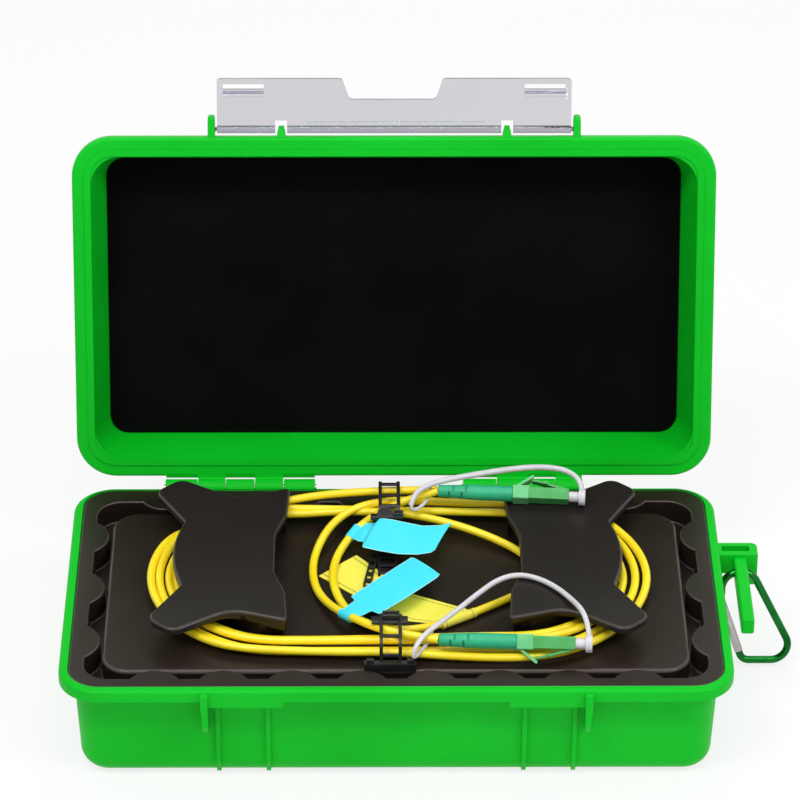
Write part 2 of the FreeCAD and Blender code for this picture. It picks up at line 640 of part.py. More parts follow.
def make_wing(label, side, shift):
    # A hooked plate on two legs that hold the coils; side is 1 on the right and -1 on the left
    body = new_body(label)
    low = plateau_z + wing_gap
    half = [(45.6, 11.5, 10), (41.5, 23.5, 8), (40.6, 40.7, 1.5), (61, 35.5, 14), (81.5, 50.5, 5),
            (91, 42.5, 5), (79.4, 20.9, 2), (85, 0, 60)]
    places = [(u, v, r) for u, v, r in half] + [(u, -v, r) for u, v, r in reversed(half[:-1])]
    outline = [((wing_inner + (u - 40.6)) * side + shift, wing_middle + v) for u, v, r in places]
    pad(body, add_outline(sketch_on(body, "XY_Plane", low), outline), wing_thick)
    for radius in sorted({r for u, v, r in places}):
        spots = [(float(x), float(y)) for (x, y), (u, v, r) in zip(outline, places) if r == radius]
        round_edges(body, radius, upright_at(spots))
    round_edges(body, wing_edge, level_at(float(low + wing_thick)))
    arc_x = coil_half_length - coil_radius
    outer = coil_radius - coil_band * 2 - coil_side_gap - leg_clear
    inner = outer - leg_thick
    sweep = [math.radians(angle) for angle in (90, 79, 68, 57)]
    for end in (-1, 1):
        ring = [(outer, angle) for angle in sweep] + [(inner, angle) for angle in reversed(sweep)]
        points = [((arc_x + radius * math.cos(angle)) * side + shift,
                   coil_middle + radius * (end * math.sin(angle)))
                  for radius, angle in ring]
        pad(body, add_outline(sketch_on(body, "XY_Plane", plateau_z), points), wing_gap + 0.5)
    return body


def make_coil(label, outer_radius):
    # Outer shape of two turns side by side, in the coil's own level frame
    body = new_body(label)
    straight = coil_half_length - coil_radius
    profile = add_racetrack(sketch_on(body, "XY_Plane"), straight, 0, outer_radius)
    add_racetrack(profile, straight, 0, outer_radius - coil_band)
    pad(body, profile, coil_height)
    round_edges(body, coil_height * 0.3, level_at(float(coil_height)), flat=True)
    round_edges(body, coil_height * 0.3, level_at(0), flat=True)
    return body


def rounded_wire(points, radii):
    # Straight runs through the points, with a tangent arc at each inner point
    corners = [Vector(*[float(number) for number in point]) for point in points]
    edges = []
    start = corners[0]
    for i in range(1, len(corners) - 1):
        arriving = (corners[i] - corners[i - 1]).normalize()
        leaving = (corners[i + 1] - corners[i]).normalize()
        half_turn = arriving.getAngle(leaving) / 2
        radius = float(radii[i - 1])
        back = radius * math.tan(half_turn)
        first = corners[i] - arriving * back
        last = corners[i] + leaving * back
        inward = (leaving - arriving).normalize()
        centre = corners[i] + inward * (radius / math.cos(half_turn))
        middle = centre - inward * radius
        edges.append(Part.LineSegment(start, first).toShape())
        edges.append(Part.Arc(first, middle, last).toShape())
        start = last
    edges.append(Part.LineSegment(start, corners[-1]).toShape())
    return Part.Wire(edges)


def swept_rod(wire, radius):
    start = wire.Vertexes[0].Point
    along = wire.Edges[0].tangentAt(wire.Edges[0].FirstParameter)
    section = Part.Wire([Part.makeCircle(float(radius), start, along)])
    return wire.makePipeShell([section], True, True)


def make_cord(label, points, diameter):
    # Each arc takes 0.45 of the shorter of its two runs
    ends = [Vector(*[float(number) for number in point]) for point in points]
    radii = []
    for i in range(1, len(ends) - 1):
        before = ends[i] - ends[i - 1]
        after = ends[i + 1] - ends[i]
        radii.append(0.45 * min(before.Length, after.Length) / math.tan(before.getAngle(after) / 2))
    wire = rounded_wire(points, radii)
    tube = doc.addObject("Part::Feature", label)
    tube.Shape = swept_rod(wire, diameter / 2)
    tube.Placement = Placement()
    expected = math.pi * float(diameter) ** 2 / 4 * wire.Length
    print(label, "length %.1f, smallest radius %.1f, volume ratio %.4f"
          % (wire.Length, min(radii), tube.Shape.Volume / expected))
    return keep(tube, label)


def make_tie(label, low_y, high_y, high_z, tail_from, tail_to, head_low, head_high):
    # A ladder strap looped round the bundle, its head on the inner side and its tail along the tray
    body = new_body(label)
    start = tie_middle - tie_width / 2
    low_z = plateau_z + tie_lift
    loop = sketch_on(body, "YZ_Plane", start)
    half_y = as_size((high_y - low_y) / 2)
    half_z = (high_z - low_z - tie_thick) / 2
    middle_y = as_size((high_y + low_y) / 2)
    middle_z = low_z + tie_thick + half_z
    add_round_box(loop, half_y + tie_thick, half_z + tie_thick, tie_thick + tie_corner, middle_y, middle_z)
    add_round_box(loop, half_y, half_z, tie_corner, middle_y, middle_z)
    pad(body, loop, tie_width)
    tail_z = low_z + tail_lift
    tail = add_box(sketch_on(body, "XY_Plane", tail_z), start, min(tail_from, tail_to), start + tie_width,
                   max(tail_from, tail_to))
    pad(body, tail, tie_thick)
    head = add_box(sketch_on(body, "XY_Plane", head_low[2]), head_low[0], head_low[1], head_high[0],
                   head_high[1])
    pad(body, head, head_high[2] - head_low[2])

    def windows(role, height, first, count, backwards, along_z):
        # A row of openings between the rungs, across the strap
        opening = tie_step - tie_rail
        profile = sketch_on(body, role, height)
        add_box(profile, start + tie_rail, first, start + tie_width - tie_rail, as_size(first) + opening)
        cut = pocket(body, profile, tie_thick + 0.2, backwards=backwards)
        repeat(body, [cut], "Z_Axis" if along_z else "Y_Axis", tie_step * (count - 1), count)
    top_count = int((high_y - low_y - 4) / float(tie_step))
    windows("XY_Plane", high_z + tie_thick + 0.1, low_y + 3, top_count, False, False)
    side_count = int(float(high_z - low_z - 5) / float(tie_step))
    outer_side = low_y if tail_from > low_y + 5 else high_y
    outwards = -1 if outer_side == low_y else 1
    face = as_size(outer_side) + (tie_thick + 0.1) * outwards
    windows("XZ_Plane", -face, low_z + 3.4, side_count, outer_side != low_y, True)
    tail_count = int((abs(tail_to - tail_from) - 4) / float(tie_step))
    windows("XY_Plane", tail_z + tie_thick + 0.1, min(tail_from, tail_to) + 2.4, tail_count, False, False)
    return body


def make_flat(label, points, height):
    # A flat sheet piece lying level
    body = new_body(label)
    pad(body, add_outline(sketch_on(body, "XY_Plane", height), points), label_thick)
    return body


def cylinder_along_x(body, start, length, radius):
    return pad(body, add_circle(sketch_on(body, "YZ_Plane", start), 0, 0, radius), length)


def bore_along_x(body, start, length, radius):
    return pocket(body, add_circle(sketch_on(body, "YZ_Plane", start), 0, 0, radius), length, backwards=True)


def make_plug(letter, place):
    # One plug with its cap, along x from the cable end of the boot; the lever stands to +y
    clip_x = boot_length
    plug_x = boot_length + clip_length
    front_x = plug_x + plug_length
    socket_x = plug_x + socket_depth

    boot = new_body("boot_" + letter)
    sleeve_x = boot_length - crimp_in_boot
    profile = sketch_on(boot, "XY_Plane")
    add_outline(profile, [(0, 0), (0, boot_rear_radius), (2.2, boot_rear_radius),
                          (sleeve_x - 6, boot_front_radius), (boot_length, boot_front_radius),
                          (boot_length, 0)])
    turn = boot.newObject("PartDesign::Revolution", "Revolution")
    turn.Profile = profile
    turn.ReferenceAxis = (profile, ["H_Axis"])
    turn.Angle = 360
    doc.recompute()
    bore_along_x(boot, sleeve_x, crimp_in_boot, crimp_radius + piece_play)
    slit = sketch_on(boot, "XZ_Plane", -0.3)
    add_box(slit, 3.6, -3, 4.5, 3)
    right_slit = pocket(boot, slit, 4)
    repeat(boot, [right_slit], "X_Axis", slit_step, 2)
    slit = sketch_on(boot, "XZ_Plane", 0.3)
    add_box(slit, 5.3, -3, 6.2, 3)
    left_slit = pocket(boot, slit, 4, backwards=True)
    repeat(boot, [left_slit], "X_Axis", slit_step, 2)

    crimp = new_body("crimp_sleeve_" + letter)
    cylinder_along_x(crimp, sleeve_x, crimp_in_boot + crimp_in_clip, crimp_radius)

    clip = new_body("rear_clip_" + letter)
    add_round_box(sketch_on(clip, "YZ_Plane", clip_x), clip_side / 2, clip_side / 2, 0.6)
    pad(clip, clip.Group[-1], clip_length)
    trigger = [(clip_x + 0.3, clip_side / 2 - 0.4), (clip_x + 1.5, clip_side / 2 - 0.4), (plug_x + 1.6, 6.6),
               (plug_x + 1.6, 7.5), (plug_x + 0.9, 7.5)]
    pad(clip, add_outline(sketch_on(clip, "XY_Plane", -trigger_width / 2), trigger), trigger_width)
    bore_along_x(clip, clip_x, crimp_in_clip, crimp_radius + piece_play)

    plug = new_body("plug_housing_" + letter)
    add_round_box(sketch_on(plug, "YZ_Plane", plug_x), plug_side / 2, plug_side / 2, 0.4)
    pad(plug, plug.Group[-1], plug_length)
    lever = [(front_x - 2.2, plug_side / 2 - 0.3), (front_x - 1, plug_side / 2 - 0.3),
             (front_x - 1, plug_side / 2 + 0.4), (plug_x + 3.4, 5.6), (plug_x + 1, 5.9), (plug_x + 1, 5.1),
             (plug_x + 3.2, 4.8)]
    pad(plug, add_outline(sketch_on(plug, "XY_Plane", -lever_width / 2), lever), lever_width)
    catch = sketch_on(plug, "XY_Plane", -2.2)
    add_box(catch, plug_x + 5.4, 3.9, plug_x + 7, 5.0)
    pad(plug, catch, 4.4)
    bore_along_x(plug, socket_x, front_x - socket_x, plug_bore)
    bore_along_x(plug, plug_x + ferrule_root, socket_depth - ferrule_root + 0.5, ferrule_radius)

    ferrule = new_body("ferrule_" + letter)
    cylinder_along_x(ferrule, plug_x + ferrule_root, plug_length - ferrule_root - 0.6, ferrule_radius)

    cap = new_body("dust_cap_" + letter)
    cylinder_along_x(cap, socket_x + cap_depth, front_x - socket_x - cap_depth, plug_bore - piece_play)
    cylinder_along_x(cap, front_x, cap_neck, cap_neck_radius)
    cylinder_along_x(cap, front_x + cap_neck, cap_flange, cap_flange_radius)
    bore_along_x(cap, socket_x + cap_depth, front_x - socket_x - cap_depth + 0.5, ferrule_radius + piece_play)

    for piece in (boot, crimp, clip, plug, ferrule, cap):
        piece.Placement = place


def make_lid():
    # In the frame of the hinge pin, the lid closed
    body = new_body("lid_shell")
    middle_y = -hinge_back - half_depth
    front = -hinge_back - case_depth
    wall_z = lid_rim + flange_height
    lean_text = "atan(%s)" % (lid_lean / (lid_height - flange_height)).text
    lean = Size(math.degrees(math.atan(float(lid_lean / (lid_height - flange_height)))), lean_text)

    def slab(height, inset, corner):
        profile = sketch_on(body, "XY_Plane", height)
        return add_round_box(profile, half_width - inset, half_depth - inset, corner, 0, middle_y)
    pad(body, slab(wall_z, wall_inset, rim_corner - wall_inset), lid_height - flange_height, lean=-lean)
    round_edges(body, roof_round, level_at(float(lid_rim + lid_height)))
    pad(body, slab(lid_rim, 0, rim_corner), flange_height)
    round_edges(body, rim_round, level_at(float(lid_rim)))
    cavity = slab(lid_rim, cavity_inset, lid_corner)
    pocket(body, cavity, lid_height - roof_thick, backwards=True, lean=-lean)
    ridge = slab(lid_rim, seal_inset, rim_corner - seal_inset)
    ridge_inner = seal_inset + seal_width
    add_round_box(ridge, half_width - ridge_inner, half_depth - ridge_inner, rim_corner - ridge_inner, 0,
                  middle_y)
    pad(body, ridge, seal_height, backwards=True)

    root = -hinge_back
    web = [(root - 1, lid_rim), (root - 1, lid_rim + 2.3), (root + 0.4, lid_rim + 2.3),
           (knuckle_radius * 0.5, knuckle_radius * 0.86), (0, 0), (root + 1, lid_rim - 0.8),
           (root + 0.4, lid_rim)]
    for group in knuckle_groups:
        for span in group[1::2]:
            knuckle(body, span, 0, 0, web)
    pocket(body, add_circle(sketch_on(body, "YZ_Plane"), 0, 0, pin_radius + pin_play), case_width,
           middle=True)

    ear = [(front + 1.5, lid_rim + 0.6), (front - ear_reach + 1.2, lid_rim + 1.6),
           (front - ear_reach, lid_rim + 3), (front - ear_reach, lid_rim + 6.4),
           (front - ear_reach + 1.8, lid_rim + 8.4), (front + 6.5, lid_rim + 8.4), (front + 6.5, lid_rim + 4)]
    lug = [(front + 1, lid_rim + 0.8), (front - 2.4, lid_rim + 3.2), (front - 3.4, lid_rim + 4.6),
           (front - 3.4, lid_rim + 6.4), (front - 2.2, lid_rim + 7), (front + 6.3, lid_rim + 7),
           (front + 6.3, lid_rim + 4)]
    ear_pad = pad(body, add_outline(sketch_on(body, "YZ_Plane", ear_middle - ear_thick / 2), ear), ear_thick)
    lug_pad = pad(body, add_outline(sketch_on(body, "YZ_Plane", lug_middle - lug_width / 2), lug), lug_width)
    lug_cuts = []
    for side in (-1, 1):
        lug_side = lug_middle + lug_width * (side * 0.5)
        cut = [(lug_side, front - 0.5), (lug_side, front - 4), (lug_side - side * 0.9, front - 4)]
        profile = add_outline(sketch_on(body, "XY_Plane", lid_rim), cut)
        lug_cuts.append(pocket(body, profile, 9, backwards=True))
    mirror(body, [ear_pad, lug_pad] + lug_cuts, "YZ_Plane")
    ear_tip = float(front - ear_reach)

    def ear_end(edge):
        box = edge.BoundBox
        return box.YMin > ear_tip - 0.01 and box.YMax < ear_tip + 1.9 and box.XMax - box.XMin < 0.01
    round_edges(body, ear_round, ear_end)
    hole = sketch_on(body, "YZ_Plane")
    add_circle(hole, front - latch_out, lid_rim + latch_rise, trunnion_radius + pin_play)
    pocket(body, hole, case_width, middle=True)
    return body


def make_foam():
    # In the frame of the hinge pin, under the roof
    body = new_body("lid_foam")
    slope = lid_lean / (lid_height - flange_height)
    depth = lid_height - roof_thick - foam_thick
    lean = Size(math.degrees(math.atan(float(slope))), "atan(%s)" % slope.text)
    inset = cavity_inset + slope * depth + foam_clear
    profile = sketch_on(body, "XY_Plane", lid_rim + depth)
    add_round_box(profile, half_width - inset, half_depth - inset, lid_corner - slope * depth, 0,
                  -hinge_back - half_depth)
    pad(body, profile, foam_thick, lean=-lean)
    return body


def make_latch():
    # In the frame of its pivot, folded open: the plate runs to -y and the hooks stand to -z
    body = new_body("latch")
    half = latch_width / 2
    edge = -latch_reach
    low = -latch_thick / 2
    outline = [(-half, 0), (-half, edge), (-notch_half, edge), (-notch_half + 3, edge + notch_depth),
               (notch_half - 3, edge + notch_depth), (notch_half, edge), (half, edge), (half, 0)]
    pad(body, add_outline(sketch_on(body, "XY_Plane", low), outline), latch_thick)
    corners = [(float(x), float(y)) for x, y in outline[1:-1]]
    round_edges(body, latch_corner, upright_at(corners))
    pad(body, add_circle(sketch_on(body, "YZ_Plane", -half), 0, 0, barrel_radius), latch_width)
    trunnion_half = ear_middle + ear_thick / 2 - 0.2
    pad(body, add_circle(sketch_on(body, "YZ_Plane", -trunnion_half), 0, 0, trunnion_radius),
        trunnion_half * 2)
    hook_start = -(latch_rise + lid_gap + lip_drop + hook_play)
    window_edge = hook_start - hook_height - 0.5
    hook_box = [(hook_start, low + 0.3), (hook_start, low - hook_reach),
                (hook_start - hook_height * 0.6, low - hook_reach),
                (hook_start - hook_height, low + 0.3)]
    hook = pad(body, add_outline(sketch_on(body, "YZ_Plane", window_start), hook_box), window_width)
    mirror(body, [hook], "YZ_Plane")
    rib = sketch_on(body, "XY_Plane", low + 0.2)
    rib_half = latch_rib_width / 2
    add_box(rib, -latch_rib_half, -latch_rib_place - rib_half, latch_rib_half, rib_half - latch_rib_place)
    pad(body, rib, latch_rib_width, backwards=True)
    opening = sketch_on(body, "XY_Plane", -low)
    add_box(opening, window_start, window_edge - window_height, window_start + window_width, window_edge)
    opening_cut = pocket(body, opening, latch_thick)
    lug_slot = sketch_on(body, "XY_Plane", 3)
    slot_half = lug_width / 2 + lug_slot_play
    add_box(lug_slot, lug_middle - slot_half, -lug_slot_depth, lug_middle + slot_half, 2.5)
    slot_cut = pocket(body, lug_slot, 6)
    mirror(body, [opening_cut, slot_cut], "YZ_Plane")
    return body


def make_snap_hook():
    # In the frame of the bar's hole, in the xz plane before it is tilted; the rod's top runs through the hole
    eye = float(hook_eye)
    spine = math.radians(27)
    gate_lean = math.radians(19)
    hole_z = float(bar_top - bar_tall / 2)
    floor_clear = 1.2
    depth = (hole_z - floor_clear) / math.cos(math.radians(float(hook_tilt))) - float(rod_dia) / 2
    pivot_z = -11.5
    nose_length = 3.7
    top_z = eye * (1 + math.cos(spine)) / math.sin(spine) - eye
    far_x = (top_z + depth) * math.tan(spine) - eye
    near_x = -eye + (depth + pivot_z) * math.tan(gate_lean)
    nose = Vector(near_x - nose_length * math.sin(gate_lean), 0, -depth + nose_length * math.cos(gate_lean))
    points = [(-eye, 0, pivot_z + 2.6), (-eye, 0, top_z), (far_x, 0, -depth), (near_x, 0, -depth),
              tuple(nose)]
    rod = swept_rod(rounded_wire(points, [eye, 6.2, 3.4]), rod_dia / 2)
    tongue = Part.makeBox(2.2, 1.2, 4.4, Vector(-eye - 1.1, -0.6, pivot_z - 1.6))
    pin_hole = Part.makeCylinder(0.55, 4, Vector(-eye, -2, pivot_z), Vector(0, 1, 0))
    tilt = Rotation(Vector(1, 0, 0), -float(hook_tilt))
    hang = Placement(Vector(float(bar_middle), float(hook_place), hole_z), tilt)
    hook = doc.addObject("Part::Feature", "snap_hook")
    hook.Shape = rod.fuse(tongue).cut(pin_hole).removeSplitter()
    hook.Placement = hang
    keep(hook, "snap_hook")

    gate_length = (depth + pivot_z) / math.cos(gate_lean) - nose_length
    gate = new_body("snap_gate")
    pad(gate, add_circle(sketch_on(gate, "XY_Plane", 1.5), 0, 0, gate_dia / 2),
        as_size(gate_length) + 1.5 - gate_gap, backwards=True)
    fork = sketch_on(gate, "XZ_Plane", 0)
    add_box(fork, -3, -3, 3, 2)
    pocket(gate, fork, 1.6, middle=True)
    rivet_hole = add_circle(sketch_on(gate, "XZ_Plane"), 0, 0, 0.5)
    pocket(gate, rivet_hole, 6, middle=True)
    rivet = new_body("gate_rivet")
    pad(rivet, add_circle(sketch_on(rivet, "XZ_Plane"), 0, 0, 0.5), gate_dia, middle=True)
    lean = Rotation(Vector(0, 1, 0), -math.degrees(gate_lean))
    pivot = hang.multiply(Placement(Vector(-eye, 0, pivot_z), lean))
    gate.Placement = pivot
    rivet.Placement = pivot
    print("hook hole", hang.Base, "gate pivot", pivot.Base)


make_base()
make_tray()
for span, label in ((left_knuckles, "hinge_pin_left"), (right_knuckles, "hinge_pin_right")):
    pin = new_body(label)
    start = span[0][0] - 0.4
    pad(pin, add_circle(sketch_on(pin, "YZ_Plane", start), hinge_y, hinge_z, pin_radius),
        span[-1][1] + 0.4 - start)

spool = new_body("fibre_ring")
ring = add_circle(sketch_on(spool, "XY_Plane", floor_thick), ring_place, 0, ring_outer)
pad(spool, add_circle(ring, ring_place, 0, ring_inner), ring_height)
for label, place_y in (("splice_sleeve_a", -12), ("splice_sleeve_b", 12)):
    sleeve = new_body(label)
    section = sketch_on(sleeve, "YZ_Plane", sleeve_start)
    pad(sleeve, add_circle(section, place_y, floor_thick + sleeve_radius, sleeve_radius), sleeve_length)

make_wing("wing_left", -1, left_wing_shift)
make_wing("wing_right", 1, 0)

outer_coil = make_coil("cable_coil_a", coil_radius)
coil_angle = math.degrees(math.asin(float(coil_tilt) / (2 * float(coil_radius))))
outer_coil.Placement = Placement(Vector(0, float(coil_middle), float(plateau_z + coil_lift + coil_tilt / 2)),
                                 Rotation(Vector(1, 0, 0), coil_angle))
inner_coil = make_coil("cable_coil_b", coil_radius - coil_band - coil_side_gap)
inner_coil.Placement = Placement(Vector(0, float(coil_middle), float(plateau_z + inner_coil_lift)),
                                 Rotation())

# Heights of what lies on the tray are given above its plateau
plug_a_z = plateau_z + 8.2
plug_b_z = plateau_z + wing_gap + wing_thick + 3.9
plug_a = Placement(Vector(15, -43.1, float(plug_a_z)),
                   Rotation(Vector(0, 0, 1), -3).multiply(Rotation(Vector(1, 0, 0), 232)))
plug_b = Placement(Vector(16.1, 42.1, float(plug_b_z)),
                   Rotation(Vector(0, 0, 1), -4.8).multiply(Rotation(Vector(1, 0, 0), 30)))
make_plug("a", plug_a)
make_plug("b", plug_b)


def above_tray(points):
    return [(x, y, height + float(plateau_z)) for x, y, height in points]


lead_a = above_tray([(12, 46.6, 8), (-2, 45.6, 9), (-15.2, 41.4, 8.6), (-24, 33.5, 6.1), (-29.3, 21.5, 2.7),
                     (-30.6, 8, 1.8), (-28.3, -5, 1.9), (-22.5, -17.5, 3.9), (-13.4, -30.5, 7.6),
                     (-1, -39.3, 8.3)])
make_cord("cable_lead_a", lead_a + [tuple(plug_a.Base)], cable_dia)
lead_b = above_tray([(-3, 40.2, 7.3), (10, 37.8, 7.1), (24.3, 33.8, 5.3), (36, 28.8, 3.5), (46.5, 21.3, 2.3),
                     (52.5, 10, 2), (49.5, -2, 2), (40, -9.5, 2), (28.6, -17.3, 2), (16, -25.3, 2),
                     (2, -30.4, 2.8), (-10.5, -26.4, 2.8), (-18.7, -14.5, 2), (-22.8, -1, 2),
                     (-22.9, 12.5, 2), (-19.5, 24, 2.9), (-13, 32.5, 6.6), (-3, 38.5, 10.1), (7, 41.4, 12.9)])
make_cord("cable_lead_b", lead_b + [tuple(plug_b.Base)], cable_dia)
strap_a = above_tray([(68.4, -45.4, 10.5), (68.2, -44, 13.1), (67.4, -40, 15.1), (66, -34, 15.1),
                      (63, -26.5, 13.9), (58.5, -18.4, 13.1), (52, -11.8, 12.9), (44.5, -9.2, 13.1),
                      (37, -12.5, 13.1), (30, -19.5, 12.1), (23, -27.5, 11.1), (16.5, -35.5, 10.8),
                      (11, -42.3, 11), (7.2, -47, 9.1), (6.2, -48.6, 6.7)])
make_cord("cap_strap_a", strap_a, strap_dia)
strap_b = above_tray([(69.4, 40.2, 16.4), (69.2, 44.4, 17.8), (66.3, 48.7, 18.8), (61.5, 51.6, 19.1),
                      (53.5, 52.8, 19.1), (43, 51.4, 19.0), (31, 48, 19.0), (19, 44.3, 19.0), (11, 41, 18.2),
                      (6.8, 37.6, 16.4), (6, 35, 13.6)])
make_cord("cap_strap_b", strap_b, strap_dia)

make_tie("ladder_tie_front", -47.8, -25.6, plateau_z + 10.1, -25.6, 8, (-6.45, -25, plateau_z + 3.7),
         (4, -20.5, plateau_z + 6.3))
make_tie("ladder_tie_back", 34.2, 52, plateau_z + 13.7, 34.2, 12, (-6.2, 29.4, plateau_z + 7.1),
         (3, 33.6, plateau_z + 10.5))
tie_foot = new_body("tie_base_front")
pad(tie_foot, add_box(sketch_on(tie_foot, "XY_Plane", plateau_z), -11.5, -51.3, 7, -48.8), foot_height)
posts = add_box(sketch_on(tie_foot, "XY_Plane", plateau_z + foot_height), -10.6, -50.6, -8, -48.8)
pad(tie_foot, add_box(posts, 3.8, -50.6, 6.4, -48.8), post_height)

make_flat("label_upper", [(-8.9, 16.3), (-11.8, 20), (-13.8, 30.6), (-12, 32.5), (15.6, 31.2), (19.6, 31.8),
                          (13.5, 13.5), (5.6, 12.1)], plateau_z + 6)
make_flat("label_lower", [(-17.8, -25.5), (-15.2, -17.1), (6.1, 10.7), (16.2, -0.6), (-1.8, -22.6),
                          (-7.4, -24.6), (-14, -28.5)], plateau_z + 6.6)
make_flat("label_strip", [(-28, 8.5), (-14.2, 22.1), (-9.3, 16.2), (5.9, -3.1), (24.9, -12), (16.1, -20.8),
                          (4.2, -20.7)], plateau_z)

lid_place = Placement(Vector(0, float(hinge_y), float(hinge_z)),
                      Rotation(Vector(1, 0, 0), -float(open_angle)))
for piece in (make_lid(), make_foam()):
    piece.Placement = lid_place
latch_pivot = Vector(0, -float(hinge_back + case_depth + latch_out), float(lid_rim + latch_rise))
latch_place = lid_place.multiply(Placement(latch_pivot, Rotation()))
make_latch().Placement = latch_place
make_snap_hook()
print("latch pivot", latch_place.Base)

doc.recompute()
for item in doc.Objects:
    if "Invalid" in item.State or "Error" in item.State:
        raise RuntimeError("%s is not built: %s" % (item.Name, item.State))
os.makedirs("parts", exist_ok=True)
for piece in sub_parts:
    shape = piece.Shape
    if shape.isNull() or not shape.isValid() or len(shape.Solids) != 1:
        raise RuntimeError("%s is not one valid solid" % piece.Label)
    shape.exportStep("parts/%s.step" % piece.Label)
print("pieces", len(sub_parts))
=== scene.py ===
import bpy
import json
import math
from mathutils import Matrix, Vector


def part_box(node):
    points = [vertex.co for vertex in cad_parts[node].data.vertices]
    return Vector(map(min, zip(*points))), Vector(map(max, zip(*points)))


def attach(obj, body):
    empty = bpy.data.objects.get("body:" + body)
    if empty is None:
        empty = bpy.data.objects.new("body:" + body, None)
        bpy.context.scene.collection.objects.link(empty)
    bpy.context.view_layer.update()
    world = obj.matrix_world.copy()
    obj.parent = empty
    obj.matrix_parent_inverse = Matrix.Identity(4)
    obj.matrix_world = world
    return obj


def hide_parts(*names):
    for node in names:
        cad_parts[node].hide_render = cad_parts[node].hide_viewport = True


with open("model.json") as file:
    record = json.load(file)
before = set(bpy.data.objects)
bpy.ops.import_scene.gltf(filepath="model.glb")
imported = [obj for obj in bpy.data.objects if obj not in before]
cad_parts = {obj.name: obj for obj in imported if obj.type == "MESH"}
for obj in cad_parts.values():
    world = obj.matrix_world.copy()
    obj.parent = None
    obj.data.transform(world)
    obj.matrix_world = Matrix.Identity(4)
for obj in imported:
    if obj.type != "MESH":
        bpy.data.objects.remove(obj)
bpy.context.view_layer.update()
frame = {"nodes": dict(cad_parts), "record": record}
nodes = frame["nodes"]
mm = 0.001
hair = 1e-6  # slack where lengths are compared


def linearColour(hexText):
    parts = [int(hexText[i:i + 2], 16) / 255 for i in (1, 3, 5)]
    lin = [c / 12.92 if c <= 0.04045 else ((c + 0.055) / 1.055) ** 2.4 for c in parts]
    return (*lin, 1.0)


def addNode(tree, kind, settings=None, links=None):
    node = tree.nodes.new(kind)
    for name, value in (settings or {}).items():
        if isinstance(name, int) or name in node.inputs:
            node.inputs[name].default_value = value
        else:
            setattr(node, name, value)
    for name, socket in (links or {}).items():
        tree.links.new(socket, node.inputs[name])
    return node


def newMaterial(name, **sockets):
    material = bpy.data.materials.new(name)
    material.use_nodes = True
    tree = material.node_tree
    shader = tree.nodes["Principled BSDF"]
    for socket, value in sockets.items():
        shader.inputs[socket.replace("_", " ")].default_value = value
    coords = addNode(tree, "ShaderNodeTexCoord").outputs["Object"]
    return material, tree, shader, coords


def perMetre(sizeMm):  # how many grains of this size fit a metre
    return 1 / (sizeMm * mm)


def grainBump(tree, shader, coords, grainMm, depthMm, detail=3.0, strength=1.0):
    grain = addNode(tree, "ShaderNodeTexNoise", {"Scale": perMetre(grainMm), "Detail": detail}, {"Vector": coords})
    bump = addNode(tree, "ShaderNodeBump", {"Strength": strength, "Distance": depthMm * mm},
                   {"Height": grain.outputs["Fac"]})
    tree.links.new(bump.outputs["Normal"], shader.inputs["Normal"])


def blotchColour(tree, shader, coords, sizeMm, dark, light, ends=(0.35, 0.65)):
    patch = addNode(tree, "ShaderNodeTexNoise", {"Scale": perMetre(sizeMm), "Detail": 2.0}, {"Vector": coords})
    ramp = addNode(tree, "ShaderNodeValToRGB", None, {"Fac": patch.outputs["Fac"]})
    for element, place, shade in zip(ramp.color_ramp.elements, ends, (dark, light)):
        element.position = place
        element.color = linearColour(shade)
    tree.links.new(ramp.outputs["Color"], shader.inputs["Base Color"])


def roughnessSpread(tree, shader, coords, sizeMm, low, high):
    patch = addNode(tree, "ShaderNodeTexNoise", {"Scale": perMetre(sizeMm), "Detail": 3.0}, {"Vector": coords})
    spread = addNode(tree, "ShaderNodeMapRange", {"To Min": low, "To Max": high}, {"Value": patch.outputs["Fac"]})
    tree.links.new(spread.outputs["Result"], shader.inputs["Roughness"])


# ABS injection moulded in a fine spark-eroded tool: an even, strong green skin with soft highlights
def greenAbs():
    material, tree, shader, coords = newMaterial("mouldedAbsGreen", IOR=1.53, Specular_IOR_Level=0.1)
    blotchColour(tree, shader, coords, 60, "#08b520", "#0cbf28")
    roughnessSpread(tree, shader, coords, 9, 0.36, 0.46)
    grainBump(tree, shader, coords, 0.5, 0.01, strength=0.35)
    return material


# high impact polystyrene sheet, vacuum formed: satin black; its rolled edges are polished and also get a painted
# highlight, a paler colour
def blackSheet(name, dark, light, low, high, paintedHighlightColour="#48423f", edgePolish=0.2):
    material, tree, shader, coords = newMaterial(name, IOR=1.55, Specular_IOR_Level=0.25,
                                                 Specular_Tint=(1, 0.9, 0.88, 1))
    patch = addNode(tree, "ShaderNodeTexNoise", {"Scale": perMetre(45), "Detail": 2.0}, {"Vector": coords})
    sheet = addNode(tree, "ShaderNodeMix", {"data_type": "RGBA", 6: linearColour(dark), 7: linearColour(light)},
                    {0: patch.outputs["Fac"]})
    rolled = addNode(tree, "ShaderNodeAttribute", {"attribute_name": "rolled"}).outputs["Fac"]
    # the rolled edges are mixed towards a paler colour: a painted highlight
    colour = addNode(tree, "ShaderNodeMix", {"data_type": "RGBA", 7: linearColour(paintedHighlightColour)},
                     {0: rolled, 6: sheet.outputs[2]})
    tree.links.new(colour.outputs[2], shader.inputs["Base Color"])
    fine = addNode(tree, "ShaderNodeTexNoise", {"Scale": perMetre(12), "Detail": 3.0}, {"Vector": coords})
    spread = addNode(tree, "ShaderNodeMapRange", {"To Min": low, "To Max": high}, {"Value": fine.outputs["Fac"]})
    polish = addNode(tree, "ShaderNodeMix", {3: edgePolish}, {0: rolled, 2: spread.outputs["Result"]})
    tree.links.new(polish.outputs[0], shader.inputs["Roughness"])
    grainBump(tree, shader, coords, 2.2, 0.05, strength=0.4)
    return material


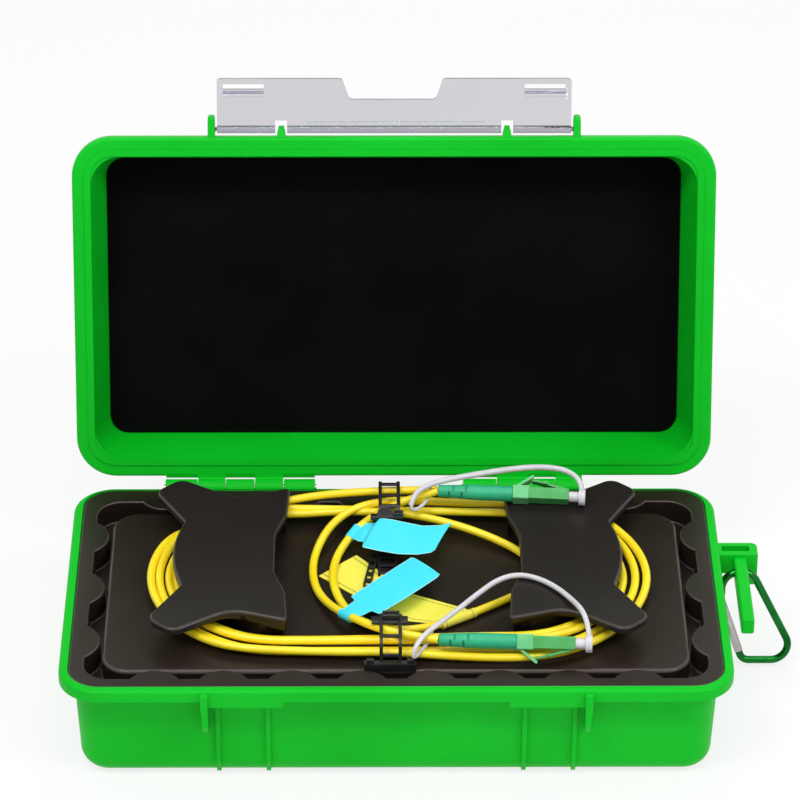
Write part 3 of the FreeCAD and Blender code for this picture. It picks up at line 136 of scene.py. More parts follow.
# closed cell foam with a cut skin: very dark and dull, fine pores drawn coarser than life so they show
def blackFoam():
    material, tree, shader, coords = newMaterial("closedCellFoamBlack", IOR=1.45, Roughness=0.95,
                                                 Specular_IOR_Level=0.08)
    blotchColour(tree, shader, coords, 30, "#040404", "#080808")
    grainBump(tree, shader, coords, 0.9, 0.12, detail=5.0, strength=0.6)
    return material


# PVC cable jacket, extruded: smooth and slightly waxy
def yellowJacket():
    material, tree, shader, coords = newMaterial("extrudedPvcYellow", IOR=1.53, Subsurface_Weight=0.2,
                                                 Subsurface_Radius=(2 * mm, 0.9 * mm, 0.1 * mm))
    blotchColour(tree, shader, coords, 14, "#ffdf18", "#ffe926")
    roughnessSpread(tree, shader, coords, 5, 0.3, 0.38)
    grainBump(tree, shader, coords, 0.8, 0.01, strength=0.15)
    return material


# thermoplastic elastomer, moulded: dull green with broad, soft highlights
def tealBoot():
    material, tree, shader, coords = newMaterial("mouldedElastomerTeal", IOR=1.5)
    blotchColour(tree, shader, coords, 8, "#1fa474", "#29b082")
    roughnessSpread(tree, shader, coords, 3, 0.45, 0.58)
    grainBump(tree, shader, coords, 0.35, 0.015, strength=0.4)
    return material


# PBT plug moulding: hard, clean and a little glossy
def plugGreen(name, dark, light):
    material, tree, shader, coords = newMaterial(name, IOR=1.57)
    blotchColour(tree, shader, coords, 6, dark, light)
    roughnessSpread(tree, shader, coords, 3, 0.26, 0.36)
    grainBump(tree, shader, coords, 0.3, 0.01, strength=0.3)
    return material


# low density polyethylene: milky, lets light bleed through
def milkyCap():
    material, tree, shader, coords = newMaterial("mouldedPolyethyleneMilky", IOR=1.51, Subsurface_Weight=0.5,
                                                 Subsurface_Radius=(1.5 * mm, 1.5 * mm, 1.6 * mm),
                                                 Transmission_Weight=0.15)
    blotchColour(tree, shader, coords, 5, "#dcd9e0", "#e6e4ea")
    roughnessSpread(tree, shader, coords, 3, 0.3, 0.42)
    grainBump(tree, shader, coords, 0.4, 0.01, strength=0.3)
    return material


# polycarbonate, polished tool: clear and faintly grey; its edges get a violet painted shade for the dark lines of
# internal reflection, and its low band a violet painted reflection
def clearLatch():
    material, tree, shader, coords = newMaterial("mouldedPolycarbonateClear", IOR=1.585, Transmission_Weight=1.0)
    patch = addNode(tree, "ShaderNodeTexNoise", {"Scale": perMetre(50), "Detail": 2.0}, {"Vector": coords})
    ramp = addNode(tree, "ShaderNodeValToRGB", None, {"Fac": patch.outputs["Fac"]})
    ramp.color_ramp.elements[0].color = linearColour("#cccbd1")
    ramp.color_ramp.elements[1].color = linearColour("#d5d4da")
    edge = addNode(tree, "ShaderNodeAttribute", {"attribute_name": "paintedEdgeShadeAndReflection"})
    # violet painted shade on the edge faces, and a violet painted reflection on the low band
    mix = addNode(tree, "ShaderNodeMix", {"data_type": "RGBA", 7: linearColour("#6f6485")},
                  {0: edge.outputs["Fac"], 6: ramp.outputs["Color"]})
    tree.links.new(mix.outputs[2], shader.inputs["Base Color"])
    roughnessSpread(tree, shader, coords, 20, 0.02, 0.06)
    grainBump(tree, shader, coords, 14, 0.03, detail=1.0, strength=0.25)
    return material


# polyamide ladder tie: black, semi matt
def blackNylon():
    material, tree, shader, coords = newMaterial("mouldedPolyamideBlack", IOR=1.53)
    blotchColour(tree, shader, coords, 6, "#101011", "#1a1a1c")
    roughnessSpread(tree, shader, coords, 3, 0.32, 0.46)
    grainBump(tree, shader, coords, 0.5, 0.02, strength=0.4)
    return material


# coated paper tape: matt with a fine fibre grain, and a ruled or dotted line inside its edges
def paperTape(name, dark, light, ink, lineStart, lineEnd, dots, dotReach=-0.3):
    material, tree, shader, coords = newMaterial(name, IOR=1.45, Roughness=0.55, Specular_IOR_Level=0.25)
    patch = addNode(tree, "ShaderNodeTexNoise", {"Scale": perMetre(7), "Detail": 4.0}, {"Vector": coords})
    ramp = addNode(tree, "ShaderNodeValToRGB", None, {"Fac": patch.outputs["Fac"]})
    ramp.color_ramp.elements[0].color = linearColour(dark)
    ramp.color_ramp.elements[1].color = linearColour(light)
    uv = addNode(tree, "ShaderNodeUVMap", {"uv_map": "flat"})
    split = addNode(tree, "ShaderNodeSeparateXYZ", None, {"Vector": uv.outputs["UV"]})
    across = addNode(tree, "ShaderNodeMath", {"operation": "SUBTRACT", 1: 0.5}, {0: split.outputs["Y"]})
    side = addNode(tree, "ShaderNodeMath", {"operation": "ABSOLUTE"}, {0: across.outputs["Value"]})
    inner = addNode(tree, "ShaderNodeMath", {"operation": "GREATER_THAN", 1: lineStart}, {0: side.outputs["Value"]})
    outer = addNode(tree, "ShaderNodeMath", {"operation": "LESS_THAN", 1: lineEnd}, {0: side.outputs["Value"]})
    line = addNode(tree, "ShaderNodeMath", {"operation": "MULTIPLY"},
                   {0: inner.outputs["Value"], 1: outer.outputs["Value"]})
    turn = addNode(tree, "ShaderNodeMath", {"operation": "MULTIPLY", 1: 2 * math.pi * dots}, {0: split.outputs["X"]})
    wave = addNode(tree, "ShaderNodeMath", {"operation": "SINE"}, {0: turn.outputs["Value"]})
    dash = addNode(tree, "ShaderNodeMath", {"operation": "GREATER_THAN", 1: dotReach}, {0: wave.outputs["Value"]})
    mark = addNode(tree, "ShaderNodeMath", {"operation": "MULTIPLY"},
                   {0: line.outputs["Value"], 1: dash.outputs["Value"]})
    mix = addNode(tree, "ShaderNodeMix", {"data_type": "RGBA", 7: linearColour(ink)},
                  {0: mark.outputs["Value"], 6: ramp.outputs["Color"]})
    tree.links.new(mix.outputs[2], shader.inputs["Base Color"])
    grainBump(tree, shader, coords, 0.4, 0.02, strength=0.3)
    return material


# anodised aluminium rod, drawn: dyed oxide over bright metal
def anodisedGreen():
    material, tree, shader, coords = newMaterial("anodisedAluminiumGreen", Metallic=1.0)
    blotchColour(tree, shader, coords, 12, "#145c20", "#1f7631")
    roughnessSpread(tree, shader, coords, 4, 0.14, 0.22)
    grainBump(tree, shader, coords, 0.4, 0.01, strength=0.3)
    return material


# turned steel: bright, its highlights a little spread by the fine tool marks
def turnedSteel():
    material, tree, shader, coords = newMaterial("turnedSteel", Metallic=1.0)
    blotchColour(tree, shader, coords, 6, "#a8a3a0", "#bcb8b5")
    roughnessSpread(tree, shader, coords, 2, 0.14, 0.24)
    grainBump(tree, shader, coords, 0.3, 0.01, strength=0.3)
    return material


# crimped brass tube: warm, slightly dull
def crimpBrass():
    material, tree, shader, coords = newMaterial("crimpedBrass", Metallic=1.0)
    blotchColour(tree, shader, coords, 3, "#b89344", "#caa656")
    roughnessSpread(tree, shader, coords, 2, 0.3, 0.42)
    return material


# ground zirconia: white, dense and smooth
def zirconia():
    material, tree, shader, coords = newMaterial("groundZirconia", IOR=2.1)
    blotchColour(tree, shader, coords, 3, "#ece9e2", "#f6f4ef")
    roughnessSpread(tree, shader, coords, 2, 0.12, 0.2)
    return material


# coated glass fibre wound on itself: many fine pale turns
def woundFibre():
    material, tree, shader, coords = newMaterial("woundFibreClear", IOR=1.5, Roughness=0.3)
    turns = addNode(tree, "ShaderNodeTexWave",
                    {"wave_type": "BANDS", "bands_direction": "Z", "Scale": perMetre(1.2), "Distortion": 0.6},
                    {"Vector": coords})
    ramp = addNode(tree, "ShaderNodeValToRGB", None, {"Fac": turns.outputs["Fac"]})
    ramp.color_ramp.elements[0].color = linearColour("#b9bec4")
    ramp.color_ramp.elements[1].color = linearColour("#e4e8ec")
    tree.links.new(ramp.outputs["Color"], shader.inputs["Base Color"])
    return material


finishes = {
    "green_plastic": greenAbs(),
    "black_plastic": blackSheet("formedPolystyreneBlack", "#1c1512", "#271e19", 0.3, 0.4),
    "black_foam": blackFoam(),
    "yellow_jacket": yellowJacket(), "teal_rubber": tealBoot(),
    "plug_green": plugGreen("mouldedPbtGreen", "#3f9f4e", "#4bab5b"),
    "white_plastic": milkyCap(), "clear_plastic": clearLatch(), "black_nylon": blackNylon(),
    "cyan_label": paperTape("coatedTapeCyan", "#3ddcf2", "#52e4f8", "#c9f6fc", 0.487, 0.5, 0),
    "yellow_label": paperTape("coatedTapeYellow", "#efe54e", "#f6ee60", "#2a2620", 0.385, 0.41, 84),
    "green_aluminium": anodisedGreen(), "gate_steel": turnedSteel(), "pin_steel": turnedSteel(),
    "crimp_brass": crimpBrass(), "ferrule_ceramic": zirconia(), "fibre_coating": woundFibre(),
}
ownFinishes = {
    ("wing_left", "wing_right"): blackSheet("formedPolystyreneGloss", "#1d1918", "#272221", 0.3, 0.38),
    ("rear_clip_a", "rear_clip_b"): plugGreen("mouldedPbtGreenPale", "#5ebd77", "#6cc886"),
}
slotOf = {part["node"]: part["material_slot"] for part in frame["record"]["subparts"]}


def paint(piece, slotName):
    piece.data.materials.clear()
    piece.data.materials.append(finishes[slotName])


for name, node in nodes.items():
    paint(node, slotOf[name])
for names, material in ownFinishes.items():
    for name in names:
        nodes[name].data.materials[0] = material
print("materials on", len(nodes), "nodes")


def deselectAll():
    if bpy.context.object and bpy.context.object.mode != "OBJECT":
        bpy.ops.object.mode_set(mode="OBJECT")
    bpy.ops.object.select_all(action="DESELECT")


def finishPiece(piece, name, bodyName, slotName):
    piece.name = name
    paint(piece, slotName)
    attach(piece, bodyName)
    return piece


def pick(piece, kind, wanted):  # selects by place and goes to edit mode
    if piece.mode != "OBJECT":
        bpy.ops.object.mode_set(mode="OBJECT")
    mesh = piece.data
    bpy.context.tool_settings.mesh_select_mode = (False, kind == "edges", kind == "polygons")
    for group in (mesh.vertices, mesh.edges, mesh.polygons):
        group.foreach_set("select", [False] * len(group))
    for item in getattr(mesh, kind):
        item.select = wanted(item)
    bpy.ops.object.mode_set(mode="EDIT")


def applyModifier(piece, kind, **settings):
    modifier = piece.modifiers.new(kind.lower(), kind)
    for name, value in settings.items():
        setattr(modifier, name, value)
    bpy.ops.object.modifier_apply(modifier=modifier.name)


copyTidy = {"merge": 0.002, "flat": 1}


def nodeCopy(nodeName, name, bodyName):  # a merged copy of a CAD mesh, to finish as a piece of its own
    deselectAll()
    piece = bpy.data.objects.new(name, nodes[nodeName].data.copy())
    bpy.context.collection.objects.link(piece)
    piece.select_set(True)
    bpy.context.view_layer.objects.active = piece
    bpy.ops.object.mode_set(mode="EDIT")
    bpy.ops.mesh.select_all(action="SELECT")
    bpy.ops.mesh.remove_doubles(threshold=copyTidy["merge"] * mm)
    bpy.ops.mesh.dissolve_limited(angle_limit=math.radians(copyTidy["flat"]))
    bpy.ops.object.mode_set(mode="OBJECT")
    finishPiece(piece, name, bodyName, slotOf[nodeName])
    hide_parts(nodeName)
    return piece


def smoothShading(degrees):
    bpy.ops.object.shade_smooth_by_angle(angle=math.radians(degrees))


def rollEdges(piece, edge):  # edges sharper than the given angle are rounded
    applyModifier(piece, "BEVEL", width=edge["width"] * mm, segments=edge["segments"], limit_method="ANGLE",
                  angle_limit=math.radians(edge["sharp"]))


def evenShading(piece, smooth=50, weight=100):  # flat faces stay flat beside rolled edges
    smoothShading(smooth)
    applyModifier(piece, "WEIGHTED_NORMAL", weight=weight, keep_sharp=True)


def markRolled(piece, share, leaning=(0.1, 0.97)):  # faces that lean are the rolled edges, polished by the mould and given a painted highlight
    rolled = piece.data.attributes.new("rolled", "FLOAT", "FACE")
    for face in piece.data.polygons:
        rolled.data[face.index].value = share if leaning[0] < abs(face.normal.z) < leaning[1] else 0


# tray: formed sheet has no sharp edges, so the scallops' and border's edges are rolled over
trayEdge = {"width": 0.55, "segments": 3, "sharp": 50, "rolled": 1}
formedTray = nodeCopy("tray", "formedTray", "base")
rollEdges(formedTray, trayEdge)
markRolled(formedTray, trayEdge["rolled"])
evenShading(formedTray)
print("tray formed")

# wings: formed pieces ease as they cool, so each corner of the outline is drawn back or forward a little
wings = {"wingLeft": {"node": "wing_left", "front": (3.2, -1.2), "back": (0, 5), "skirt": 2.2},
         "wingRight": {"node": "wing_right", "front": (0, 3.2), "back": (3.4, 0), "skirt": 0}}
wingSkirt = {"frontShare": 0.3, "underside": 49.6, "near": 0.1, "rolled": 0.6}
for name, settings in wings.items():
    low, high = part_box(settings["node"])
    wing = nodeCopy(settings["node"], name, "base")
    wing.data.materials[0] = nodes[settings["node"]].data.materials[0]
    for vertex in wing.data.vertices:
        u, v = [(vertex.co[i] - low[i]) / (high[i] - low[i]) for i in (0, 1)]
        front, back = [a + (b - a) * u for a, b in (settings["front"], settings["back"])]
        vertex.co.y += (front + (back - front) * v) * mm
        fromUnderside = abs(vertex.co.z / mm - wingSkirt["underside"])
        if v < wingSkirt["frontShare"] and fromUnderside < wingSkirt["near"]:
            # the skirt hangs lowest at the inner corner
            vertex.co.z -= settings["skirt"] * max(0, 2 * u - 1) * mm
    markRolled(wing, wingSkirt["rolled"])
    evenShading(wing)
print("wings eased")

# latch: heights along the plate as (formed, cooled), with the hooks left where they catch, a notch that is
# drawn lower and wider, and edges and the low band that are marked for violet painted shade and painted reflection
plate = {"rise": (0, 0.284, 0.9588), "paintedReflectionTop": 197, "paintedReflectionShare": 0.5, "edgeLean": 0.7,
         "notch": {"half": 24, "bottom": 209.47, "cornerTop": 211, "slack": 0.5, "drop": 3.2, "deep": 6.5,
                   "left": -2.2, "right": 1.0},
         "heights": [(190, 190), (196.3, 196.3), (200.77, 197.3), (202.17, 198.4), (207.4, 207.4), (212.4, 212.4),
                     (216, 214.15)]}
notch = plate["notch"]
clearPlate = nodeCopy("latch", "clearPlate", "latch_plate")
plateNormal = max(clearPlate.data.polygons, key=lambda face: face.area).normal.copy()
paintedEdgeShadeAndReflection = clearPlate.data.attributes.new("paintedEdgeShadeAndReflection", "FLOAT", "FACE")
rise = Vector(plate["rise"])
# edge faces get the full violet painted shade, faces of the low band half of it as a painted reflection
for face in clearPlate.data.polygons:
    low = face.center.dot(rise) < plate["paintedReflectionTop"] * mm
    edge = abs(face.normal.dot(plateNormal)) < plate["edgeLean"]
    paintedEdgeShadeAndReflection.data[face.index].value = plate["paintedReflectionShare"] if low else float(edge)
for vertex in clearPlate.data.vertices:
    height = vertex.co.dot(rise) / mm
    for (h0, k0), (h1, k1) in zip(plate["heights"], plate["heights"][1:]):
        if h0 <= height < h1:
            moved = k0 + (k1 - k0) * (height - h0) / (h1 - h0) - height
    above = height - notch["bottom"]
    if above > -notch["slack"] and abs(vertex.co.x) < notch["half"] * mm:
        if height < notch["cornerTop"]:
            moved -= notch["drop"] * (1 - above / notch["deep"])
        vertex.co.x += notch["left" if vertex.co.x < 0 else "right"] * mm
    vertex.co += rise * (moved * mm)
evenShading(clearPlate)
print("latch plate finished")

# hinge leaves: the lid's edge reaches down behind the knuckles, which leaves only a hairline over them
leaf = {"edge": 0.25, "segments": 3, "smooth": 40,
        "spans": {"hingeLeafLeft": (-86.4, -30), "hingeLeafRight": (26.2, 71.2)},
        "corners": {(-1, -1): (72.9, 41.95), (1, -1): (74.1, 41.95), (1, 1): (75, 43.8), (-1, 1): (73, 43.8)}}
for name, (start, end) in leaf["spans"].items():
    deselectAll()
    bpy.ops.mesh.primitive_cube_add(size=2)
    bar = bpy.context.object
    for vertex in bar.data.vertices:
        y, z = leaf["corners"][(round(vertex.co.y), round(vertex.co.z))]
        vertex.co = Vector((start if vertex.co.x < 0 else end, y, z)) * mm
    applyModifier(bar, "BEVEL", width=leaf["edge"] * mm, segments=leaf["segments"], limit_method="ANGLE")
    smoothShading(leaf["smooth"])
    finishPiece(bar, name, "lid", "green_plastic")
print("hinge leaves shaped")

# plugs and caps: moulded edges are broken, which gives them their fine highlights
mouldedEdge = {"width": 0.25, "segments": 2, "sharp": 30}
mouldedNames = {"plug_housing_a": "plugHousingA", "plug_housing_b": "plugHousingB", "dust_cap_a": "dustCapA",
                "dust_cap_b": "dustCapB"}
moulded = {}
for nodeName, name in mouldedNames.items():
    moulded[nodeName] = nodeCopy(nodeName, name, "base")
    rollEdges(moulded[nodeName], mouldedEdge)
    evenShading(moulded[nodeName])
print("moulded edges broken on", len(moulded), "pieces")

# cables: the winding's turns, then the loose stretch; millimetres, heights counted from the tray's top
tray = 40.7
winding = {"halfStraight": 42.1, "middleY": 2.4, "fullness": 1.0115, "turnPerMm": {"back": -0.2, "front": 0.35},
           "outerLow": 2.7, "outerClimb": 4.2, "outerHalf": 48.9, "innerLevel": 4.3, "stops": (-28, 0, 28)}
rightwards, leftwards = winding["stops"], winding["stops"][::-1]
# how a turn strays, as angle: (outwards, upwards)
strays = {
    "outerA": {0: (2.6, 0.3), 40: (1.2, 0.3), 78: (1.4, 3), 93: (1.4, 3), 95.6: (0.6, 1.8), 100: (-2.2, -1.2),
               120: (-2, -1.2), 155: (0, 0), 180: (0, 0), 235: (-0.6, 0.5), 260: (-1.2, 0.6), 270: (-1.2, 0.4),
               280: (2.1, 0.3), 320: (1.7, 0.2)},
    "innerA": {0: (1.6, 0), 60: (0.6, 0.2), 100: (0.4, 0), 180: (0, -0.3), 235: (-0.5, -0.9), 260: (-0.7, -1.2),
               270: (-0.3, -0.8), 280: (0.3, -0.3), 320: (1.2, 0.3)},
    "outerB": {0: (0.6, 0), 60: (0.2, 0), 180: (0, 0), 240: (-0.5, -0.2), 260: (-0.3, -0.2), 280: (0, 0.2),
               320: (0.5, 0.4)},
    "innerB": {0: (0, 0), 40: (0.2, 0), 80: (3.2, 0.6), 100: (5.6, 1.5), 140: (2.2, 0.6), 180: (0.2, 0),
               235: (0.4, -1.2), 260: (0.4, -1.7), 270: (0.3, -1.2), 280: (0, -0.4), 320: (0, 0)},
}


def strayAt(turnName, angle):
    keys = strays[turnName]
    around = sorted(keys) + [360]
    angle %= 360
    for low, high in zip(around, around[1:]):
        if low <= angle <= high:
            share = (angle - low) / (high - low)
            first, last = keys[low], keys[high % 360]
            return [a + (b - a) * share for a, b in zip(first, last)]


def aboveTray(points):
    return [(x, y, z + tray) for x, y, z in points]


def lane(turnName, radius, angles, height):
    points = []
    for angle in angles:
        turned = math.radians(angle)
        side = 1 if math.cos(turned) > 0 else -1
        out, up = strayAt(turnName, angle)
        spread = (radius + out) * winding["fullness"]
        x = side * winding["halfStraight"] + spread * math.cos(turned)
        y = winding["middleY"] + spread * math.sin(turned)
        points.append((x, y, height(y) + up))
    return points


def straight(turnName, radius, xs, side, height):  # the side is the winding's back or its front
    middle, sign = (90, 1) if side == "back" else (270, -1)
    points = []
    for x in xs:
        out, up = strayAt(turnName, middle + x * winding["turnPerMm"][side])
        y = winding["middleY"] + (radius + out) * sign
        points.append((x, y, height(y) + up))
    return points


def outerHeight(y):  # the outer winding climbs towards the hinge
    share = (y - winding["middleY"] + winding["outerHalf"]) / (2 * winding["outerHalf"])
    return winding["outerLow"] + winding["outerClimb"] * share


def innerHeight(y):
    return winding["innerLevel"]


def smoothCord(name, points, diameterMm, slotName, swell=0, steps=6, roundness=5):
    deselectAll()
    curve = bpy.data.curves.new(name, "CURVE")
    curve.dimensions = "3D"
    spline = curve.splines.new("NURBS")
    spline.points.add(len(points) - 1)
    for i, (point, place) in enumerate(zip(spline.points, points)):
        point.co = (*[number * mm for number in place], 1)
        point.radius = 1 + swell * math.sin(math.pi * i / (len(points) - 1))
    spline.order_u = 3
    spline.use_endpoint_u = True
    spline.resolution_u = steps
    curve.bevel_depth = diameterMm * mm / 2
    curve.bevel_resolution = roundness
    curve.use_fill_caps = True
    piece = bpy.data.objects.new(name, curve)
    bpy.context.collection.objects.link(piece)
    return finishPiece(piece, name, "base", slotName)


# boots: a tapered sleeve with staggered slits in its back end, turned to the plug's place
bootShape = {"length": 27.9, "rows": 186, "columns": 72, "slitWide": 0.6, "slitDeep": 0.8, "slitReach": 40,
             "profile": [(0, 1.55), (0.3, 2.2), (2.2, 2.28), (12.9, 2.85), (27.6, 2.85), (27.9, 2.6)],
             "slits": [(4.2, 42), (5.8, -42), (9, 42), (10.6, -42)], "facing": (0, -0.85, 0.53), "merge": 0.001,
             "smooth": 35}
boots = {"A": {"node": "boot_a", "back": (15, -43.1, 8.2), "turn": -3},
         "B": {"node": "boot_b", "back": (16.1, 42.1, 15.5), "turn": -4.8}}


def bootRadius(along, turned):
    radius = 0
    for (x0, r0), (x1, r1) in zip(bootShape["profile"], bootShape["profile"][1:]):
        if x0 <= along <= x1 + hair:
            radius = r0 + (r1 - r0) * (along - x0) / (x1 - x0)
    for place, middle in bootShape["slits"]:
        if abs(along - place) < bootShape["slitWide"] / 2 and abs(turned - middle) < bootShape["slitReach"]:
            radius -= bootShape["slitDeep"]
    return radius


for letter, settings in boots.items():
    deselectAll()
    bpy.ops.mesh.primitive_grid_add(x_subdivisions=bootShape["rows"], y_subdivisions=bootShape["columns"], size=1)
    boot = bpy.context.object
    turn = math.radians(settings["turn"])
    axis = Vector((math.cos(turn), math.sin(turn), 0))
    facing = Vector(bootShape["facing"])
    facing = (facing - axis * facing.dot(axis)).normalized()
    rising = facing.cross(axis)
    for vertex in boot.data.vertices:
        along, turned = (vertex.co.x + 0.5) * bootShape["length"], vertex.co.y * 360
        out = facing * math.cos(math.radians(turned)) - rising * math.sin(math.radians(turned))
        spot = Vector(settings["back"]) + axis * along + out * bootRadius(along, turned)
        vertex.co = (spot + Vector((0, 0, tray))) * mm
    bpy.ops.object.mode_set(mode="EDIT")
    bpy.ops.mesh.select_all(action="SELECT")
    bpy.ops.mesh.remove_doubles(threshold=bootShape["merge"] * mm)
    bpy.ops.mesh.fill_holes(sides=0)
    bpy.ops.mesh.normals_make_consistent(inside=False)
    bpy.ops.object.mode_set(mode="OBJECT")
    smoothShading(bootShape["smooth"])
    settings["piece"] = finishPiece(boot, "boot" + letter, "base", "teal_rubber")
    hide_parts(settings["node"])
print("boots turned")


cableA = {"diameter": 3, "length": 0.98, "outer": 47.3, "inner": 44.1, "crossing": (46.9, 45.8, 44.6),
          "start": [(-66, 41, 1.6), (-73.5, 36, 2.7)],
          "loose": [(28, 46.5, 7), (12, 46.6, 8), (-2, 45.6, 9), (-15.2, 41.4, 8.6), (-24, 33.5, 6.1),
                    (-29.3, 21.5, 2.7), (-30.6, 8, 1.8), (-28.3, -5, 1.9), (-22.5, -17.5, 3.9), (-13.4, -30.5, 7.6),
                    (-1, -39.3, 8.3), boots["A"]["back"]]}
outerA, innerA = cableA["outer"], cableA["inner"]
cablePointsA = aboveTray(
    cableA["start"]
    + lane("outerA", outerA, range(150, 261, 20), outerHeight)
    + straight("outerA", outerA, rightwards, "front", outerHeight)
    + lane("outerA", outerA, range(-80, 81, 20), outerHeight)
    + straight("outerA", outerA, leftwards, "back", outerHeight)
    + lane("outerA", cableA["crossing"][0], (100,), outerHeight)
    + lane("innerA", cableA["crossing"][1], (120,), outerHeight)
    + lane("innerA", cableA["crossing"][2], (140,), outerHeight)
    + lane("innerA", innerA, range(160, 261, 20), outerHeight)
    + straight("innerA", innerA, rightwards, "front", outerHeight)
    + lane("innerA", innerA, range(-80, 81, 20), outerHeight)
    + cableA["loose"])
cordA = smoothCord("cableA", cablePointsA, cableA["diameter"], "yellow_jacket")
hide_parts("cable_coil_a", "cable_lead_a")

cableB = {"diameter": 3, "length": 1.0, "outer": 40.6, "inner": 37.4, "crossing": (38.2, 39.7),
          "start": [(63.3, 27.7, 1.7), (69.7, 23.9, 2.9)],
          "loose": [(-34, 43, 4.7), (-19, 41.8, 6.7), (-3, 40.2, 7.3), (10, 37.8, 7.1), (24.3, 33.8, 5.3),
                    (36, 28.8, 3.5), (46.5, 21.3, 2.3), (52.5, 10, 2), (49.5, -2, 2), (40, -9.5, 2),
                    (28.6, -17.3, 2), (16, -25.3, 2), (2, -30.4, 2.8), (-10.5, -26.4, 2.8), (-18.7, -14.5, 2),
                    (-22.8, -1, 2), (-22.9, 12.5, 2), (-19.5, 24, 2.9), (-13, 32.5, 6.6), (-3, 38.5, 10.1),
                    (7, 41.4, 12.9), boots["B"]["back"]]}
outerB, innerB = cableB["outer"], cableB["inner"]
cablePointsB = aboveTray(
    cableB["start"]
    + lane("innerB", innerB, range(20, -81, -20), innerHeight)
    + straight("innerB", innerB, leftwards, "front", innerHeight)
    + lane("innerB", innerB, range(260, 99, -20), innerHeight)
    + straight("innerB", innerB, rightwards, "back", innerHeight)
    + lane("innerB", innerB, (80,), innerHeight)
    + lane("innerB", cableB["crossing"][0], (60,), innerHeight)
    + lane("outerB", cableB["crossing"][1], (40,), innerHeight)
    + lane("outerB", outerB, range(20, -81, -20), innerHeight)
    + straight("outerB", outerB, leftwards, "front", innerHeight)
    + lane("outerB", outerB, range(260, 99, -20), innerHeight)
    + cableB["loose"])
cordB = smoothCord("cableB", cablePointsB, cableB["diameter"], "yellow_jacket")
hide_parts("cable_coil_b", "cable_lead_b")

# cap straps, from the cap's flange to the cable behind the boot, each ending in an eye round the cable
straps = {
    "A": {"diameter": 1.8, "swell": 0.12, "length": 0.104, "eyeWidth": 1.3,
          "points": [(68.4, -45.4, 10.5), (68.2, -44, 13.1), (67.4, -40, 15.1), (66, -34, 15.1), (63, -26.5, 13.9),
                     (58.5, -18.4, 13.1), (52, -11.8, 12.9), (44.5, -9.2, 13.1), (37, -12.5, 13.1), (30, -19.5, 12.1),
                     (23, -27.5, 11.1), (16.5, -35.5, 10.8), (11, -42.3, 11), (7.2, -47, 9.1), (6.2, -48.6, 6.7)],
          "eye": [(7.2, -47, 8.8), (6.2, -48.8, 6.6), (5.9, -49.4, 4.9), (7, -48.2, 4.4), (9.4, -44.8, 5.4),
                  (11.6, -40.4, 5.7), (12.8, -38, 7.6), (12.4, -38.9, 10.2), (11, -42.3, 11)]},
    "B": {"diameter": 1.8, "swell": 0.3, "length": 0.077, "eyeWidth": 1.3,
          "points": [(69.4, 40.2, 16.4), (69.2, 44.4, 17.8), (66.3, 48.7, 18.8), (61.5, 51.6, 19.1),
                     (53.5, 52.8, 19.1), (43, 51.4, 19), (31, 48, 19), (19, 44.3, 19), (11, 41, 18.2),
                     (6.8, 37.6, 16.4), (6, 35, 13.6)],
          "eye": [(6.8, 37.6, 16.2), (6, 34.9, 13.5), (6.3, 34.5, 12.1), (8, 35.9, 11.2), (10.5, 38.6, 11.5),
                  (12.6, 42.2, 12.2), (13.4, 44.8, 14.4), (12.8, 44.2, 17), (11, 41, 18.2)]},
}
for letter, settings in straps.items():
    points = aboveTray(settings["points"])
    strap = smoothCord("capStrap" + letter, points, settings["diameter"], "white_plastic", settings["swell"])
    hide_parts("cap_strap_" + letter.lower())
    eye = smoothCord("strapEye" + letter, aboveTray(settings["eye"]), settings["eyeWidth"], "white_plastic", steps=8,
                     roundness=4)
print("cables and straps laid")

# labels: a band round the cable, then the flag as pairs of edge points, front edge and back edge
flags = {
    "flagUpper": {"node": "label_upper", "slot": "cyan_label", "cable": (-15.3, 29.5, 5.2),
                  "along": (0.575, 0.752, 0.327), "band": 6, "belly": 0.5,
                  "edges": [((-15.9, 25.9, 5.2), (-12.2, 32.4, 7.2)), ((-13.4, 23.0, 5.8), (-8.6, 32, 7.9)),
                            ((-11.6, 22.8, 6), (-7.3, 31.8, 8)), ((-12, 18.8, 6), (-5.5, 30.9, 10.8)),
                            ((-5.6, 16.3, 6), (-1.3, 30, 10.8)), ((0.9, 14.3, 6), (3.4, 29.5, 9.9)),
                            ((8.2, 13.9, 6), (10.3, 28.8, 8.7)), ((13.3, 15.3, 6), (17.1, 29.8, 8.3)),
                            ((14.7, 17, 6.1), (21, 31.2, 8.5))]},
    "flagLower": {"node": "label_lower", "slot": "cyan_label", "cable": (-17.7, -24.6, 5.7),
                  "along": (0.56, -0.8, 0.23), "band": 6.6, "belly": 0.3,
                  "edges": [((-14.6, -27.6, 6.9), (-19.4, -21.8, 6.2)), ((-11.6, -25.7, 6.8), (-16.6, -18.6, 6.5)),
                            ((-8.9, -23.2, 6.8), (-14.7, -16.4, 6.6)), ((-7.4, -24.2, 6.8), (-16.1, -13.9, 6.6)),
                            ((-5.9, -25.2, 6.8), (-14.6, -11.9, 6.6)), ((3.5, -15.2, 6.7), (-6.4, -2.6, 6.6)),
                            ((10.5, -7.2, 6.6), (0.9, 5.6, 6.6)), ((15.2, -1.8, 6.6), (6, 11.2, 6.6)),
                            ((16.1, 0.2, 6.6), (7.4, 10.4, 6.6))]},
    "stripYellow": {"node": "label_strip", "slot": "yellow_label", "cable": (22.4, -21.3, 2),
                    "along": (0.845, 0.535, 0), "band": 14.5, "belly": 0.1,
                    "edges": [((16.2, -25, 0.5), (28.4, -17, 0.5)), ((13.6, -22, 0.25), (25.4, -12.6, 0.25)),
                              ((4.6, -20.4, 0.25), (15.5, -7.8, 0.25)), ((-4, -14.5, 0.25), (5.9, -3.1, 0.25)),
                              ((-14, -5, 0.25), (-1.7, 6.5, 0.25)), ((-28, 8.5, 0.25), (-14.2, 22.1, 0.25))]},
}
flagSheet = {"rows": 96, "columns": 12, "wrapShare": 0.25, "bandRadius": 1.68, "thick": 0.2, "smooth": 40}


